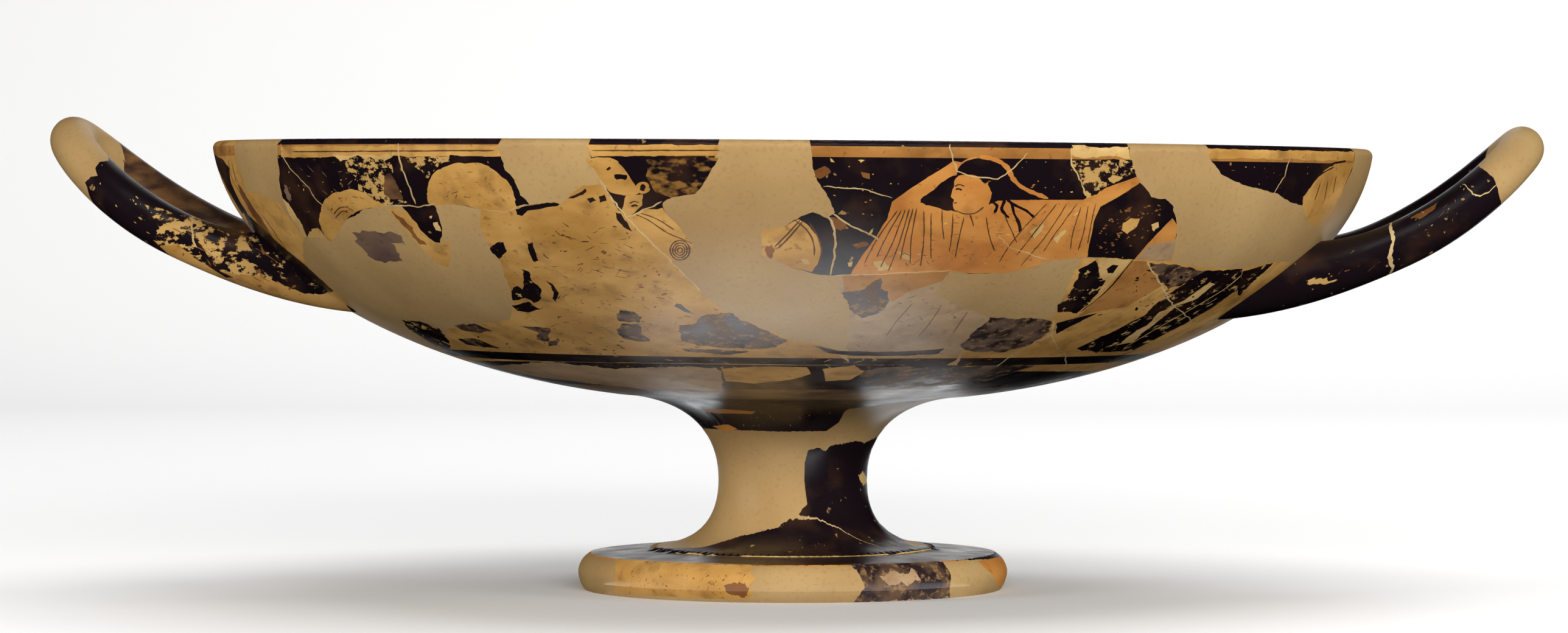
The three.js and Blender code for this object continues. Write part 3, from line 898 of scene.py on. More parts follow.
HANDLE_STREWN = {
    1: {
        "chips": ("pale", RIGHT_LIMB, 14, 0.2, 1.5),
        "scratches": ("rust", RIGHT_LIMB, 20, 0.12, 8),
    },
    -1: {
        "chips": ("pale", [(160, 300), (220, 316), (262, 350), (250, 390), (190, 350)], 12, 0.22, 1.5),
        "streaks": ("rust", [(262, 350), (400, 360), (520, 480), (460, 490), (300, 430)], 40, 0.25, 6),
    },
}


# Rows of pixels, at the middle of the picture, where the bands that run right round begin and end.
RIM_BAND_TOP, RIM_BAND_FOOT = 239, 257
BASE_LINE_TOP, BASE_LINE_FOOT = 584, 588
BASE_BLACK_FOOT = 601
# The band under the bowl, just above the stem's ring, is painted shade: brown where the bowl's shade falls.
SHADE_BAND_TOP, SHADE_BAND_FOOT = 640, 656


def level(row):
    """The run along the section at the middle of the picture, at this row of pixels."""
    return on_body([(PHOTO_WIDTH / 2, row), (PHOTO_WIDTH / 2 + 1, row)], closed=False)[0, 1]


def to_rim(chart):
    """Carries what reaches the rim up to the middle of the lip."""
    reached = chart.copy()
    reached[reached[:, 1] > SPANS["bowl"][1] - RIM_CATCH, 1] = LIP_MIDDLE
    return reached


def through_wall(chart):
    """The same outline on the inside of the bowl."""
    outside, inside = SPANS["bowl"], SPANS["inside"]
    share = (inside[1] - inside[0]) / (outside[1] - outside[0])
    run = chart[:, 1]
    below = inside[0] + (outside[1] - run) * share
    over = 2 * LIP_MIDDLE - run
    mapped = chart.copy()
    mapped[:, 1] = np.where(run < outside[1], below, over)
    return mapped


def clipped(chart):
    """Keeps an outline within the body's chart."""
    kept = chart.copy()
    kept[:, 0] = np.clip(kept[:, 0], -SEAM + EDGE_GAP, SEAM - EDGE_GAP)
    kept[:, 1] = np.clip(kept[:, 1], EDGE_GAP, SECTION_LENGTH - EDGE_GAP)
    return kept


def painted_outline(paint, pixels, sherd=False):
    """An outline of the picture on the body, with the paint's ragged edge."""
    chart = on_body(pixels)
    chart = ragged(divide(chart, OUTLINE_STEP), RAGGEDNESS[paint])
    return clipped(to_rim(chart) if sherd else chart)


def drawn_line(width, pixels):
    """A line through these pixels, as a painted stroke on the body."""
    line = on_body(rounded(pixels, 5), closed=False)
    line = ragged(divide(line, LINE_STEP, closed=False), RAGGEDNESS["line"])
    return clipped(stroke(line, width))


def fold_lines(top_left, top_right, low_left, low_right, count):
    """Lines of a fan of folds, each a little bowed."""
    lines = []
    for share in np.linspace(0, 1, count):
        top = np.array(top_left) + share * np.subtract(top_right, top_left)
        low = np.array(low_left) + share * np.subtract(low_right, low_left)
        across = np.array((top[1] - low[1], low[0] - top[0]))
        middle = (top + low) / 2 + across * FOLD_BOW * math.cos(5 * share)
        end = low + (top - low) * FOLD_SHORTENING * (1 + math.sin(7 * share))
        lines.append([top, middle, end])
    return lines


def ring_lines(middle, radii):
    """Circles of the picture round one middle."""
    turn = np.linspace(0, 2 * math.pi, 13)
    circle = np.stack([np.cos(turn), np.sin(turn)], axis=1)
    return [np.array(middle) + radius * circle for radius in radii]


def strewn(area, count, size, length, seed, to_chart):
    """Small uneven outlines strewn over an area of the picture."""
    draw = np.random.default_rng(seed)
    area = np.array(area, float)
    spots = draw.uniform(area.min(axis=0), area.max(axis=0), (3 * count, 2))
    spots = to_chart(spots[inside_of(area, spots)][:count])
    outlines = []
    for spot in spots:
        turn = np.arange(SPOT_CORNERS) / SPOT_CORNERS * 2 * math.pi + draw.uniform(0, 1)
        reach = size * draw.uniform(0.3, 1.2) * draw.uniform(0.4, 1.4, SPOT_CORNERS)
        long, tilt = draw.uniform(0.6, 1.4) * length, draw.uniform(-1.2, 1.2)
        flat = np.stack([reach * long * np.cos(turn), reach * np.sin(turn)], axis=1)
        swing = np.array([[math.cos(tilt), -math.sin(tilt)], [math.sin(tilt), math.cos(tilt)]])
        outlines.append(spot + flat @ swing.T)
    return outlines


def join_line(chart_line):
    """A broken edge between sherds, not yet drawn out to a width."""
    return ragged(divide(chart_line, LINE_STEP, closed=False), RAGGEDNESS["crack"])


def body_lines():
    """Every drawn line of the body: paint and outline."""
    drawn = []
    for paint, width, lines in LINES.values():
        drawn += [(paint, drawn_line(width, line)) for line in lines]
    for corners in FOLDS.values():
        drawn += [("line", drawn_line(FOLD_WIDTH, line)) for line in fold_lines(*corners)]
    for middle, radii, width, paint in ROUNDELS.values():
        drawn += [(paint, drawn_line(width, line)) for line in ring_lines(middle, radii)]
    for width, pixels in CRACKS.values():
        drawn.append(("crack", clipped(stroke(join_line(on_body(pixels, closed=False)), width))))
    return drawn


def body_layers():
    """Paint and outline of the sherds and fills, then of everything on them, in order."""
    ground, painted = [], []
    for paint, pixels in SHERDS.values():
        ground.append((paint, painted_outline(paint, pixels, sherd=True)))
    for paint, pixels in STEM_PAINT.values():
        ground.append((paint, painted_outline(paint, pixels)))
    for paint, pixels in {**FOOT_PAINT, **DETAILS}.values():
        painted.append((paint, painted_outline(paint, pixels)))
    for paint, pixels in ROUND_DETAILS.values():
        painted.append((paint, painted_outline(paint, rounded(pixels, 4, closed=True))))
    for seed, (paint, *how) in enumerate(STREWN.values()):
        painted += [(paint, clipped(spot)) for spot in strewn(*how, seed, spots_on_body)]
    return ground, painted + body_lines()


# The side away from the picture, plainer. Places are shares of the way round to the back, then of the
# painted zone's height.
BACK_SHIELDS = ((0.62, 0.52), (0.9, 0.46), (-0.7, 0.5))
BACK_FIGURES = (0.76, -0.58, -0.86)
BACK_FILLS = (
    (0.66, 0.12, 20), (0.84, 0.92, 30), (-0.64, 0.95, 26), (-0.88, 0.12, 26), (-0.78, 0.78, 13),
)
FILL_CORNERS = 8
BACK_WANDER = 0.6
JOIN_WIDTH, JOIN_SWAY = 0.4, 0.02
BACK_JOINS = (0.56, 0.7, 0.83, 0.95, -0.61, -0.74, -0.9)
SHIELD_SHARE, HEAD_SHARE, FIGURE_HEAD = 0.3, 0.085, 0.87
SHIELD_RINGS = (("gold", 1.0), ("line", 0.86), ("gold", 0.82), ("line", 0.16))
FIGURE = (
    (-0.17, 0.03), (-0.2, 0.3), (-0.17, 0.56), (-0.15, 0.7), (-0.04, 0.75), (-0.035, 0.8), (0.035, 0.8),
    (0.04, 0.75), (0.13, 0.71), (0.2, 0.62), (0.27, 0.62), (0.28, 0.67), (0.3, 0.6), (0.2, 0.54), (0.16, 0.4),
    (0.2, 0.03),
)
STAFF, STAFF_WIDTH = ((0.29, 0.06), (0.29, 0.92)), 0.8
HAIR_EDGE, FACE, FACE_SHIFT = 1.12, 0.72, (0.3, -0.25)  # shares of the head's radius
FOLD_PLACES, BACK_FOLD_WIDTH = (-0.1, -0.06, -0.02, 0.02, 0.06), 0.4
FOLD_SHAPE = ((0.8, 0.0, 0.7), (1.2, 0.01, 0.4), (1.7, 0.0, 0.06))  # spread, shift and height along a fold


def back_place(turn_share, height_share):
    """A point of the body's chart on the painted zone, and the zone's height."""
    low, high = level(BASE_LINE_TOP), level(RIM_BAND_FOOT)
    return np.array((turn_share * SEAM, low + height_share * (high - low))), high - low


def back_ring(middle, reach):
    """A circle on the body round a point of its chart."""
    turn = np.linspace(0, 2 * math.pi, RING_CORNERS, endpoint=False)
    width = CHART_RADIUS / np.interp(middle[1], SECTION_RUN, SECTION[:, 0])
    return middle + np.stack([reach * width * np.cos(turn), reach * np.sin(turn)], axis=1)


def back_fill(turn_share, height_share, reach):
    """A fill between broken edges."""
    draw = np.random.default_rng(reach)
    middle, _ = back_place(turn_share, height_share)
    turn = 2 * math.pi * (np.arange(FILL_CORNERS) + draw.uniform(-0.3, 0.3, FILL_CORNERS)) / FILL_CORNERS
    out = reach * draw.uniform(0.6, 1.25, FILL_CORNERS)
    return middle + np.stack([out * np.cos(turn), out * np.sin(turn)], axis=1)


def back_figure(turn_share):
    """A plain draped figure with a staff: dress, head, hair and folds."""
    foot, height = back_place(turn_share, 0)
    dress = foot + height * np.array(FIGURE)
    middle, reach = foot + (0, FIGURE_HEAD * height), HEAD_SHARE * height
    layers = [("clay", divide(dress, OUTLINE_STEP)), ("clay", back_ring(middle, HAIR_EDGE * reach))]
    layers.append(("slip", back_ring(middle, reach)))
    layers.append(("clay", back_ring(middle + reach * np.array(FACE_SHIFT), FACE * reach)))
    staff = divide(foot + height * np.array(STAFF), LINE_STEP, closed=False)
    layers.append(("clay", stroke(staff, STAFF_WIDTH)))
    for share in FOLD_PLACES:
        fold = [(spread * share + shift, up) for spread, shift, up in FOLD_SHAPE]
        line = foot + height * np.array(fold)
        layers.append(("line", stroke(rounded(line, 8), BACK_FOLD_WIDTH)))
    return layers


def back_join(turn_share):
    """A join that sways down from the rim."""
    line = []
    for height_share in np.linspace(-0.2, 1.1, 7):
        sway = JOIN_SWAY * math.sin(9 * turn_share + 5 * height_share)
        line.append(back_place(turn_share + sway, height_share)[0])
    return stroke(ragged(divide(line, LINE_STEP, closed=False), BACK_WANDER), JOIN_WIDTH)


def back_layers():
    """Paint, fills and joins of the side away from the picture."""
    layers = []
    for turn_share in BACK_FIGURES:
        layers += back_figure(turn_share)
    for turn_share, height_share in BACK_SHIELDS:
        middle, height = back_place(turn_share, height_share)
        for paint, share in SHIELD_RINGS:
            layers.append((paint, back_ring(middle, share * SHIELD_SHARE * height)))
    layers += [("crack", back_join(turn_share)) for turn_share in BACK_JOINS]
    layers += [("fill", ragged(divide(back_fill(*place), OUTLINE_STEP), BACK_WANDER)) for place in BACK_FILLS]
    return [(paint, clipped(outline)) for paint, outline in layers]


INSIDE_FROM = 2  # millimetres above the stem's flare from which the outside's breaks show inside


def inside_layers(outside):
    """What shows inside the bowl: the same fills and joins through the wall."""
    low, high = SPANS["bowl"][0], LIP_MIDDLE
    layers = []
    for paint, outline in outside:
        if outline[:, 1].max() > low + INSIDE_FROM:
            kept = outline.copy()
            kept[:, 1] = np.clip(kept[:, 1], low, high)
            shown = paint if paint in ("fill", "crack") else "slip"
            layers.append((shown, clipped(through_wall(kept))))
    return layers


TONDO_RADII, TONDO_LINE = (64.0, 67.5), 0.8
FOOT_LINE_BELOW, FOOT_LINE_ABOVE = 0.5, 0.3  # the clay line on the foot's upper edge


def tondo_rings():
    """Two reserved lines round the middle of the bowl's inside: paint, lower run and upper run."""
    runs = np.linspace(*SPANS["inside"], SIDE_STEPS)
    radii = np.interp(runs, SECTION_RUN, SECTION[:, 0])
    rings = []
    for radius in TONDO_RADII:
        ends = np.interp((-radius, TONDO_LINE - radius), -radii, runs)
        rings.append(("clay", ends[0], ends[1]))
    return rings


def base_bands():
    """What lies under everything else, where it isn't gloss slip: paint, lower run and upper run."""
    foot_top = SPANS["foot_edge"][1]
    return [
        ("fill", SPANS["ring"][0], foot_top - FOOT_LINE_BELOW),
        ("clay", foot_top - FOOT_LINE_BELOW, foot_top + FOOT_LINE_ABOVE),
        # Painted shade: a brown band right round under the bowl, above the stem's ring.
        ("thin", level(SHADE_BAND_FOOT), level(SHADE_BAND_TOP)),
    ]


def stripes():
    """Bands right round, where the sherds are original: paint, lower run and upper run."""
    return [
        ("gold", level(BASE_LINE_FOOT), level(BASE_LINE_TOP)),
        ("slip", level(BASE_BLACK_FOOT), level(BASE_LINE_FOOT)),
        ("band", level(RIM_BAND_FOOT), level(RIM_BAND_TOP)),
    ]


SAME_POINT = 1e-4  # millimetres of chart


class Net:
    """Points and fixed edges to be joined into triangles."""

    def __init__(self):
        self.points = []
        self.edges = []

    def add(self, points, closed=False, fixed=False):
        start = len(self.points)
        self.points.extend(Vector((float(x), float(y))) for x, y in points)
        count = len(points)
        if fixed:
            last = count if closed else count - 1
            self.edges.extend((start + k, start + (k + 1) % count) for k in range(last))

    def triangles(self):
        result = delaunay_2d_cdt(self.points, self.edges, [], 0, SAME_POINT)
        return np.array([(p.x, p.y) for p in result[0]]), np.array(result[2])


def body_rows(net):
    """Rows of points right round the body, closer where the form bends."""
    for name, (_, spacing, around) in STRETCHES.items():
        start, end = SPANS[name]
        count = max(2, int(round((end - start) / spacing)) + 1)
        runs = list(np.linspace(start, end, count))
        if end - start > 4 * CORNER_ROW:
            runs[1:1] = [start + CORNER_ROW]
            runs[-1:-1] = [end - CORNER_ROW]
        if name != "floor":
            runs = runs[:-1]
        columns = np.linspace(-SEAM, SEAM, around + 1)
        for run in runs:
            net.add(np.stack([columns, np.full(around + 1, run)], axis=1))


def banded(paint_of, middles, bands, where=True):
    """Paints the faces whose middles lie in the bands."""
    for paint, low, high in bands:
        paint_of[(middles[:, 1] > low) & (middles[:, 1] < high) & where] = SLOT[paint]


def covered(paint_of, middles, layers, where=True):
    """Paints the faces whose middles lie in the outlines, one over the other."""
    for paint, outline in layers:
        paint_of[inside_of(outline, middles) & where] = SLOT[paint]


def body_net(outlines, bands):
    """The body's chart with its rows, the outlines and the edges of the bands."""
    net = Net()
    body_rows(net)
    for outline in outlines:
        net.add(outline, closed=True, fixed=True)
    columns = np.linspace(-SEAM, SEAM, BAND_COLUMNS)
    for _, low, high in bands:
        for run in (low, high):
            net.add(np.stack([columns, np.full(BAND_COLUMNS, run)], axis=1), fixed=True)
    return net


def body_mesh():
    """The body's chart as triangles, each with its paint."""
    ground, painted = body_layers()
    painted += back_layers()
    breaks = [layer for layer in painted if layer[0] in ("fill", "crack")]
    inner = inside_layers(ground[: len(SHERDS)] + breaks)
    outlines = [outline for _, outline in ground + painted + inner]
    points, faces = body_net(outlines, stripes() + base_bands() + tondo_rings()).triangles()
    middles = points[faces].mean(axis=1)
    paint_of = np.full(len(faces), SLOT["slip"])
    within = middles[:, 1] > LIP_MIDDLE
    banded(paint_of, middles, base_bands())
    covered(paint_of, middles, ground)
    banded(paint_of, middles, stripes(), paint_of != SLOT["fill"])
    covered(paint_of, middles, painted)
    paint_of[within] = SLOT["slip"]
    banded(paint_of, middles, tondo_rings(), within)
    covered(paint_of, middles, inner, within)
    return points, faces, paint_of


def section_normals(points, faces):
    """Outward directions in the section's plane at each corner, each face keeping to its own stretch."""
    runs = points[faces][:, :, 1]
    middles = runs.mean(axis=1)
    normals = np.zeros(runs.shape + (2,))
    for name, (start, end) in SPANS.items():
        line = STRETCHES[name][0]
        line_runs = start + run_lengths(line)
        along = np.gradient(line, line_runs, axis=0)
        within = (middles >= start) & (middles <= end)
        normals[within, :, 0] = np.interp(runs[within], line_runs, along[:, 1])
        normals[within, :, 1] = -np.interp(runs[within], line_runs, along[:, 0])
    return normals


def body_normals(points, faces):
    """Outward directions at each corner of the body's faces."""
    flat = section_normals(points, faces)
    angle = points[faces][:, :, 0] / CHART_RADIUS
    return np.stack([flat[..., 0] * np.sin(angle), -flat[..., 0] * np.cos(angle), flat[..., 1]], axis=-1)


KEPT_NORMAL = "true_normal"
WELD = 1e-6  # metres


def add_object(name, places, faces, paint_of, normals):
    """A mesh of places in millimetres, with a paint for each face and a normal for each corner."""
    mesh = bpy.data.meshes.new(name)
    mesh.from_pydata((places * MM * SNUG).tolist(), [], faces.tolist())
    mesh.polygons.foreach_set("material_index", paint_of.astype(np.int32))
    kept = mesh.attributes.new(KEPT_NORMAL, "FLOAT_VECTOR", "CORNER")
    kept.data.foreach_set("vector", normals.astype(np.float32).ravel())
    piece = bpy.data.objects.new(name, mesh)
    bpy.context.scene.collection.objects.link(piece)
    return piece


def shade(piece):
    """Shades the mesh by the normals of the smooth forms instead of those of its triangles."""
    mesh = piece.data
    mesh.polygons.foreach_set("use_smooth", [True] * len(mesh.polygons))
    normals = np.zeros(3 * len(mesh.loops), np.float32)
    mesh.attributes[KEPT_NORMAL].data.foreach_get("vector", normals)
    normals = normals.reshape(-1, 3)
    flat = np.array([face.normal for face in mesh.polygons for _ in face.loop_indices])
    size = np.linalg.norm(normals, axis=1)[:, None]
    normals = np.where(size > 0.5, normals / np.maximum(size, 1e-6), flat)
    mesh.attributes.remove(mesh.attributes[KEPT_NORMAL])
    mesh.normals_split_custom_set(normals.tolist())


def open_ring(start, open_edges):
    """The open edges that hang together with one of them."""
    ring, waiting, seen = [], [start], {start}
    while waiting:
        edge = waiting.pop()
        ring.append(edge)
        for other in (link for vert in edge.verts for link in vert.link_edges):
            if other in open_edges and other not in seen:
                seen.add(other)
                waiting.append(other)
    return ring


def close_ends(piece, tips):
    """Welds the seam and closes each end with a fan to its tip."""
    made = bmesh.new()
    made.from_mesh(piece.data)
    bmesh.ops.remove_doubles(made, verts=made.verts, dist=WELD)
    open_edges = [edge for edge in made.edges if edge.is_boundary]
    for place in tips:
        tip = made.verts.new(Vector(place) * MM)
        nearest = min(open_edges, key=lambda edge: (edge.verts[0].co - tip.co).length)
        ring = open_ring(nearest, open_edges)
        for edge in ring:
            beside = edge.link_faces[0].material_index
            face = made.faces.new((edge.verts[0], edge.verts[1], tip))
            face.material_index = beside
        open_edges = [edge for edge in open_edges if edge not in ring]
    bmesh.ops.recalc_face_normals(made, faces=made.faces)
    made.to_mesh(piece.data)
    made.free()


def body_piece():
    """The turned body, painted, and closed at the hollow's top and at the bowl's floor."""
    points, faces, paint_of = body_mesh()
    piece = add_object("kylix", body_points(points), faces, paint_of, body_normals(points, faces))
    bottom = lean(np.array([(0, 0, HOLLOW_APEX[1])]))[0]
    top = lean(np.array([(0, 0, FLOOR_DIP[1])]))[0]
    close_ends(piece, [bottom, top])
    return piece


# Colours and materials.
def linear(red, green, blue):
    """A screen colour, 0 to 255, as linear light."""
    shares = [c / 255 for c in (red, green, blue)]
    return [c / 12.92 if c < 0.04045 else ((c + 0.055) / 1.055) ** 2.4 for c in shares] + [1.0]


RANGE_SLOTS = ("From Min", "From Max", "To Min", "To Max")
MIX_SLOTS = (6, 7)  # where a mix of colours takes its two colours


def map_range(nodes, links, value, ends):
    """A value carried from one range to another; ends are the two ends of each."""
    node = nodes.new("ShaderNodeMapRange")
    for slot, number in zip(RANGE_SLOTS, ends):
        node.inputs[slot].default_value = number
    links.new(value, node.inputs["Value"])
    return node.outputs[0]


class Shader:
    """A material under construction."""

    def __init__(self, name):
        self.material = bpy.data.materials.new(name)
        self.material.use_nodes = True
        self.nodes = self.material.node_tree.nodes
        self.links = self.material.node_tree.links
        self.surface = self.nodes["Principled BSDF"]
        self.place = self.nodes.new("ShaderNodeTexCoord").outputs["Object"]

    def grain(self, scale, detail=5.0, squeeze=1.0, roughness=0.5):
        """Noise over the object's own places; squeeze flattens it along the height."""
        mapping = self.nodes.new("ShaderNodeMapping")
        mapping.inputs["Scale"].default_value = (1, 1, squeeze)
        self.links.new(self.place, mapping.inputs["Vector"])
        texture = self.nodes.new("ShaderNodeTexNoise")
        texture.inputs["Scale"].default_value = scale
        texture.inputs["Detail"].default_value = detail
        texture.inputs["Roughness"].default_value = roughness
        self.links.new(mapping.outputs[0], texture.inputs["Vector"])
        return texture.outputs[0]

    def spread(self, value, low, high, out_low, out_high):
        """A value between low and high, carried to another range."""
        return map_range(self.nodes, self.links, value, (low, high, out_low, out_high))

    def mix(self, share, first, second):
        """Two colours, or nodes that give them, mixed by a share of the second."""
        node = self.nodes.new("ShaderNodeMix")
        node.data_type = "RGBA"
        self.links.new(share, node.inputs[0])
        for slot, colour in zip(MIX_SLOTS, (first, second)):
            if isinstance(colour, list):
                node.inputs[slot].default_value = colour
            else:
                self.links.new(colour, node.inputs[slot])
        return node.outputs[2]

    def bump(self, height, strength, distance):
        node = self.nodes.new("ShaderNodeBump")
        node.inputs["Strength"].default_value = strength
        node.inputs["Distance"].default_value = distance
        self.links.new(height, node.inputs["Height"])
        self.links.new(node.outputs[0], self.surface.inputs["Normal"])

    def done(self, colour, roughness, gloss):
        """The finished material."""
        self.surface.inputs["Specular IOR Level"].default_value = gloss
        self.links.new(colour, self.surface.inputs["Base Color"])
        self.links.new(roughness, self.surface.inputs["Roughness"])
        return self.material


def slip_colour(shader):
    """Black with broad brown clouds."""
    deep, brown = linear(23, 15, 20), linear(54, 35, 27)
    return shader.mix(shader.spread(shader.grain(70, 8), 0.52, 0.7, 0, 1), deep, brown)


def slip_paint():
    """Whole gloss slip with a few flecks of clay."""
    shader = Shader("gloss_slip")
    flecks = shader.spread(shader.grain(330, 3), 0.70, 0.73, 0, 1)
    colour = shader.mix(flecks, slip_colour(shader), linear(150, 118, 72))
    shader.bump(shader.grain(260, 4), 0.12, 0.0004)
    return shader.done(colour, shader.spread(shader.grain(120, 4), 0.3, 0.7, 0.24, 0.4), 0.35)


def flaked_paint(name, bare_from):
    """Slip that has flaked off to the clay, where its grain is above a value."""
    shader = Shader(name)
    bare = shader.mix(shader.grain(120, 5), linear(164, 126, 70), linear(212, 174, 108))
    flakes = shader.spread(shader.grain(300, 8, 1.6, 0.66), bare_from, bare_from + 0.03, 0, 1)
    colour = shader.mix(flakes, slip_colour(shader), bare)
    shader.bump(flakes, 0.35, 0.0002)
    return shader.done(colour, shader.spread(flakes, 0, 1, 0.28, 0.5), 0.35)


def mottled_paint():
    """Slip that fired or wore through to brown in blotches."""
    shader = Shader("mottled_slip")
    blotches = shader.spread(shader.grain(240, 10, 1.8), 0.48, 0.6, 0, 0.9)
    colour = shader.mix(blotches, slip_colour(shader), linear(140, 100, 46))
    shader.bump(shader.grain(260, 4), 0.12, 0.0004)
    return shader.done(colour, shader.spread(blotches, 0, 1, 0.28, 0.46), 0.35)


def rubbed_paint():
    """Slip rubbed to a grey brown."""
    shader = Shader("rubbed_slip")
    rubs = shader.spread(shader.grain(170, 8), 0.42, 0.6, 0, 1)
    worn = shader.mix(rubs, linear(44, 33, 36), linear(100, 77, 60))
    specks = shader.spread(shader.grain(420, 6, 1.0, 0.66), 0.54, 0.6, 0, 0.75)
    colour = shader.mix(specks, worn, linear(146, 114, 72))
    shader.bump(shader.grain(320, 4), 0.14, 0.0003)
    return shader.done(colour, shader.spread(rubs, 0, 1, 0.32, 0.5), 0.32)


def thin_and_shade_paint():
    """Slip brushed on so sparingly that it fired brown; the same brown is also painted shade, under the bowl
    and on the left handle's far limb.
    """
    shader = Shader("thin_slip_and_shade")
    brushing = shader.spread(shader.grain(70, 6, 3), 0.4, 0.62, 0, 1)
    colour = shader.mix(brushing, linear(62, 44, 38), linear(128, 92, 56))
    shader.bump(shader.grain(260, 4), 0.1, 0.0003)
    return shader.done(colour, shader.spread(shader.grain(90, 4), 0.3, 0.7, 0.26, 0.42), 0.4)


def clay_paint(name, deep, light, stain):
    """Bare or painted clay: broad streaks round the cup, stains and specks."""
    shader = Shader(name)
    broad = shader.mix(shader.spread(shader.grain(45, 6, 2.5), 0.35, 0.66, 0, 1), deep, light)
    stains = shader.spread(shader.grain(130, 9), 0.52, 0.78, 0, 0.8)
    specks = shader.spread(shader.grain(560, 3), 0.64, 0.7, 0, 0.55)
    colour = shader.mix(specks, shader.mix(stains, broad, stain), stain)
    shader.bump(shader.grain(420, 5), 0.14, 0.0004)
    return shader.done(colour, shader.spread(shader.grain(110, 4), 0.3, 0.7, 0.34, 0.5), 0.3)


def fill_paint():
    """Tan plaster, clouded and finely speckled."""
    shader = Shader("plaster_fill")
    cloud = shader.spread(shader.grain(28, 6), 0.3, 0.7, 0, 1)
    broad = shader.mix(cloud, linear(166, 134, 88), linear(187, 156, 106))
    speckle = shader.spread(shader.grain(900, 2), 0.55, 0.75, 0, 0.35)
    colour = shader.mix(speckle, broad, linear(138, 108, 70))
    shader.bump(shader.grain(600, 4), 0.08, 0.0003)
    return shader.done(colour, shader.spread(shader.grain(60, 4), 0.3, 0.7, 0.36, 0.48), 0.3)


# Clay paints: the material's name, then its deep, light and stain colours.
CLAYS = {
    "rust": ("rust_brown", (104, 64, 32), (142, 94, 50), (78, 48, 28)),
    "dull": ("dull_clay", (150, 122, 90), (184, 154, 118), (112, 86, 62)),
    "clay": ("orange_clay", (182, 116, 52), (204, 142, 72), (140, 84, 40)),
    "band": ("dark_clay", (148, 98, 46), (178, 126, 66), (104, 66, 34)),
    "gold": ("worn_clay", (172, 126, 60), (208, 162, 92), (118, 82, 44)),
    "pale": ("bare_clay", (184, 148, 88), (216, 182, 120), (158, 118, 68)),
    "wash": ("purple_wash", (96, 76, 68), (132, 106, 84), (76, 56, 54)),
    "crack": ("join", (176, 146, 100), (214, 190, 140), (140, 110, 70)),
    "line": ("relief_line", (78, 50, 28), (104, 68, 38), (56, 34, 22)),
}


def paint_materials():
    """A material for each paint."""
    made = {
        "fill": fill_paint(),
        "slip": slip_paint(),
        "thin": thin_and_shade_paint(),
        "mottled": mottled_paint(),
        "chipped": flaked_paint("chipped_slip", 0.58),
        "flaked": flaked_paint("flaked_slip", 0.485),
        "rubbed": rubbed_paint(),
    }
    for paint, (name, *colours) in CLAYS.items():
        made[paint] = clay_paint(name, *(linear(*colour) for colour in colours))
    return made


# The loop handles. On a handle's chart, x is the run along the loop and y the turn round the rod.
BEND_START = HANDLE_TIP[0] - HANDLE_HALF_WIDTH
LIMB = BEND_START - HANDLE_START[0]
LOOP = 2 * LIMB + math.pi * HANDLE_HALF_WIDTH
ROD_CHART = 8.0
ROD_SEAM = math.pi * ROD_CHART
SEAM_GAP, SEAM_REACH = 0.1, 4.0  # outlines stop short of the seam, and past them their paint goes on
END_GAP = 0.2
HANDLE_FILL_WANDER, HANDLE_CRACK_WANDER = 1.2, 0.3


def loop_line(run):
    """Places on the middle of the right handle's rod."""
    turn = np.clip((run - LIMB) / HANDLE_HALF_WIDTH, 0, math.pi)
    straight = np.minimum(np.minimum(run, LOOP - run), LIMB)
    reach = HANDLE_START[0] + straight + HANDLE_HALF_WIDTH * np.sin(turn)
    side = -HANDLE_HALF_WIDTH * np.cos(turn)
    share = (reach - HANDLE_START[0]) / (HANDLE_TIP[0] - HANDLE_START[0])
    rise = HANDLE_TIP[1] - HANDLE_START[1]
    height = HANDLE_START[1] + rise * np.abs(share) ** HANDLE_RISE_POWER
    return np.stack([reach, side, height], axis=1)


def rod_radius(reach):
    """The rod's radius at a distance out from the cup's axis: thick at the roots, slimmer at the tip."""
    at_root = smoothstep(ROOT_END - reach, 0, ROOT_END - HANDLE_START[0])
    at_tip = smoothstep(reach, ROOT_END, HANDLE_TIP[0])
    plain = ROD_SIDE + (ROD_TIP - ROD_SIDE) * at_tip
    return plain + (ROD_ROOT - plain) * at_root


def rod_spokes(run, turn):
    """Directions from the rod's middle to its surface."""
    along = loop_line(run + PROBE) - loop_line(run - PROBE)
    along /= np.linalg.norm(along, axis=1)[:, None]
    outward = np.cross(along, (0, 0, 1))
    outward /= np.linalg.norm(outward, axis=1)[:, None]
    upward = np.cross(outward, along)
    return np.cos(turn)[:, None] * outward + np.sin(turn)[:, None] * upward


def rod_points(run, turn):
    """Places on the right handle's rod."""
    centre = loop_line(run)
    return centre + rod_radius(centre[:, 0])[:, None] * rod_spokes(run, turn)


def root_runs(turn):
    """Where the rod's surface leaves the middle of the bowl's wall, for turns round the rod."""
    runs = np.linspace(0.1, LIMB, ROOT_SEARCH)
    grid_run, grid_turn = np.meshgrid(runs, turn)
    places = rod_points(grid_run.ravel(), grid_turn.ravel())
    radius = np.hypot(places[:, 0], places[:, 1])
    order = np.argsort(BOWL_CORE[:, 1])
    core = np.interp(places[:, 2], BOWL_CORE[order, 1], BOWL_CORE[order, 0])
    buried = (radius < core).reshape(grid_run.shape)
    last = grid_run.shape[1] - 1 - np.argmax(buried[:, ::-1], axis=1)
    return runs[last]


ROOT_TURNS = np.linspace(-math.pi, math.pi, ROOT_CORNERS)
ROOT_RUNS = root_runs(ROOT_TURNS)


def rod_place(chart):
    """Run along the loop and turn round the rod, for points of a handle's chart."""
    turn = chart[:, 1] / ROD_CHART
    start = np.interp(turn, ROOT_TURNS, ROOT_RUNS)
    return start + chart[:, 0] / LOOP * (LOOP - 2 * start), turn


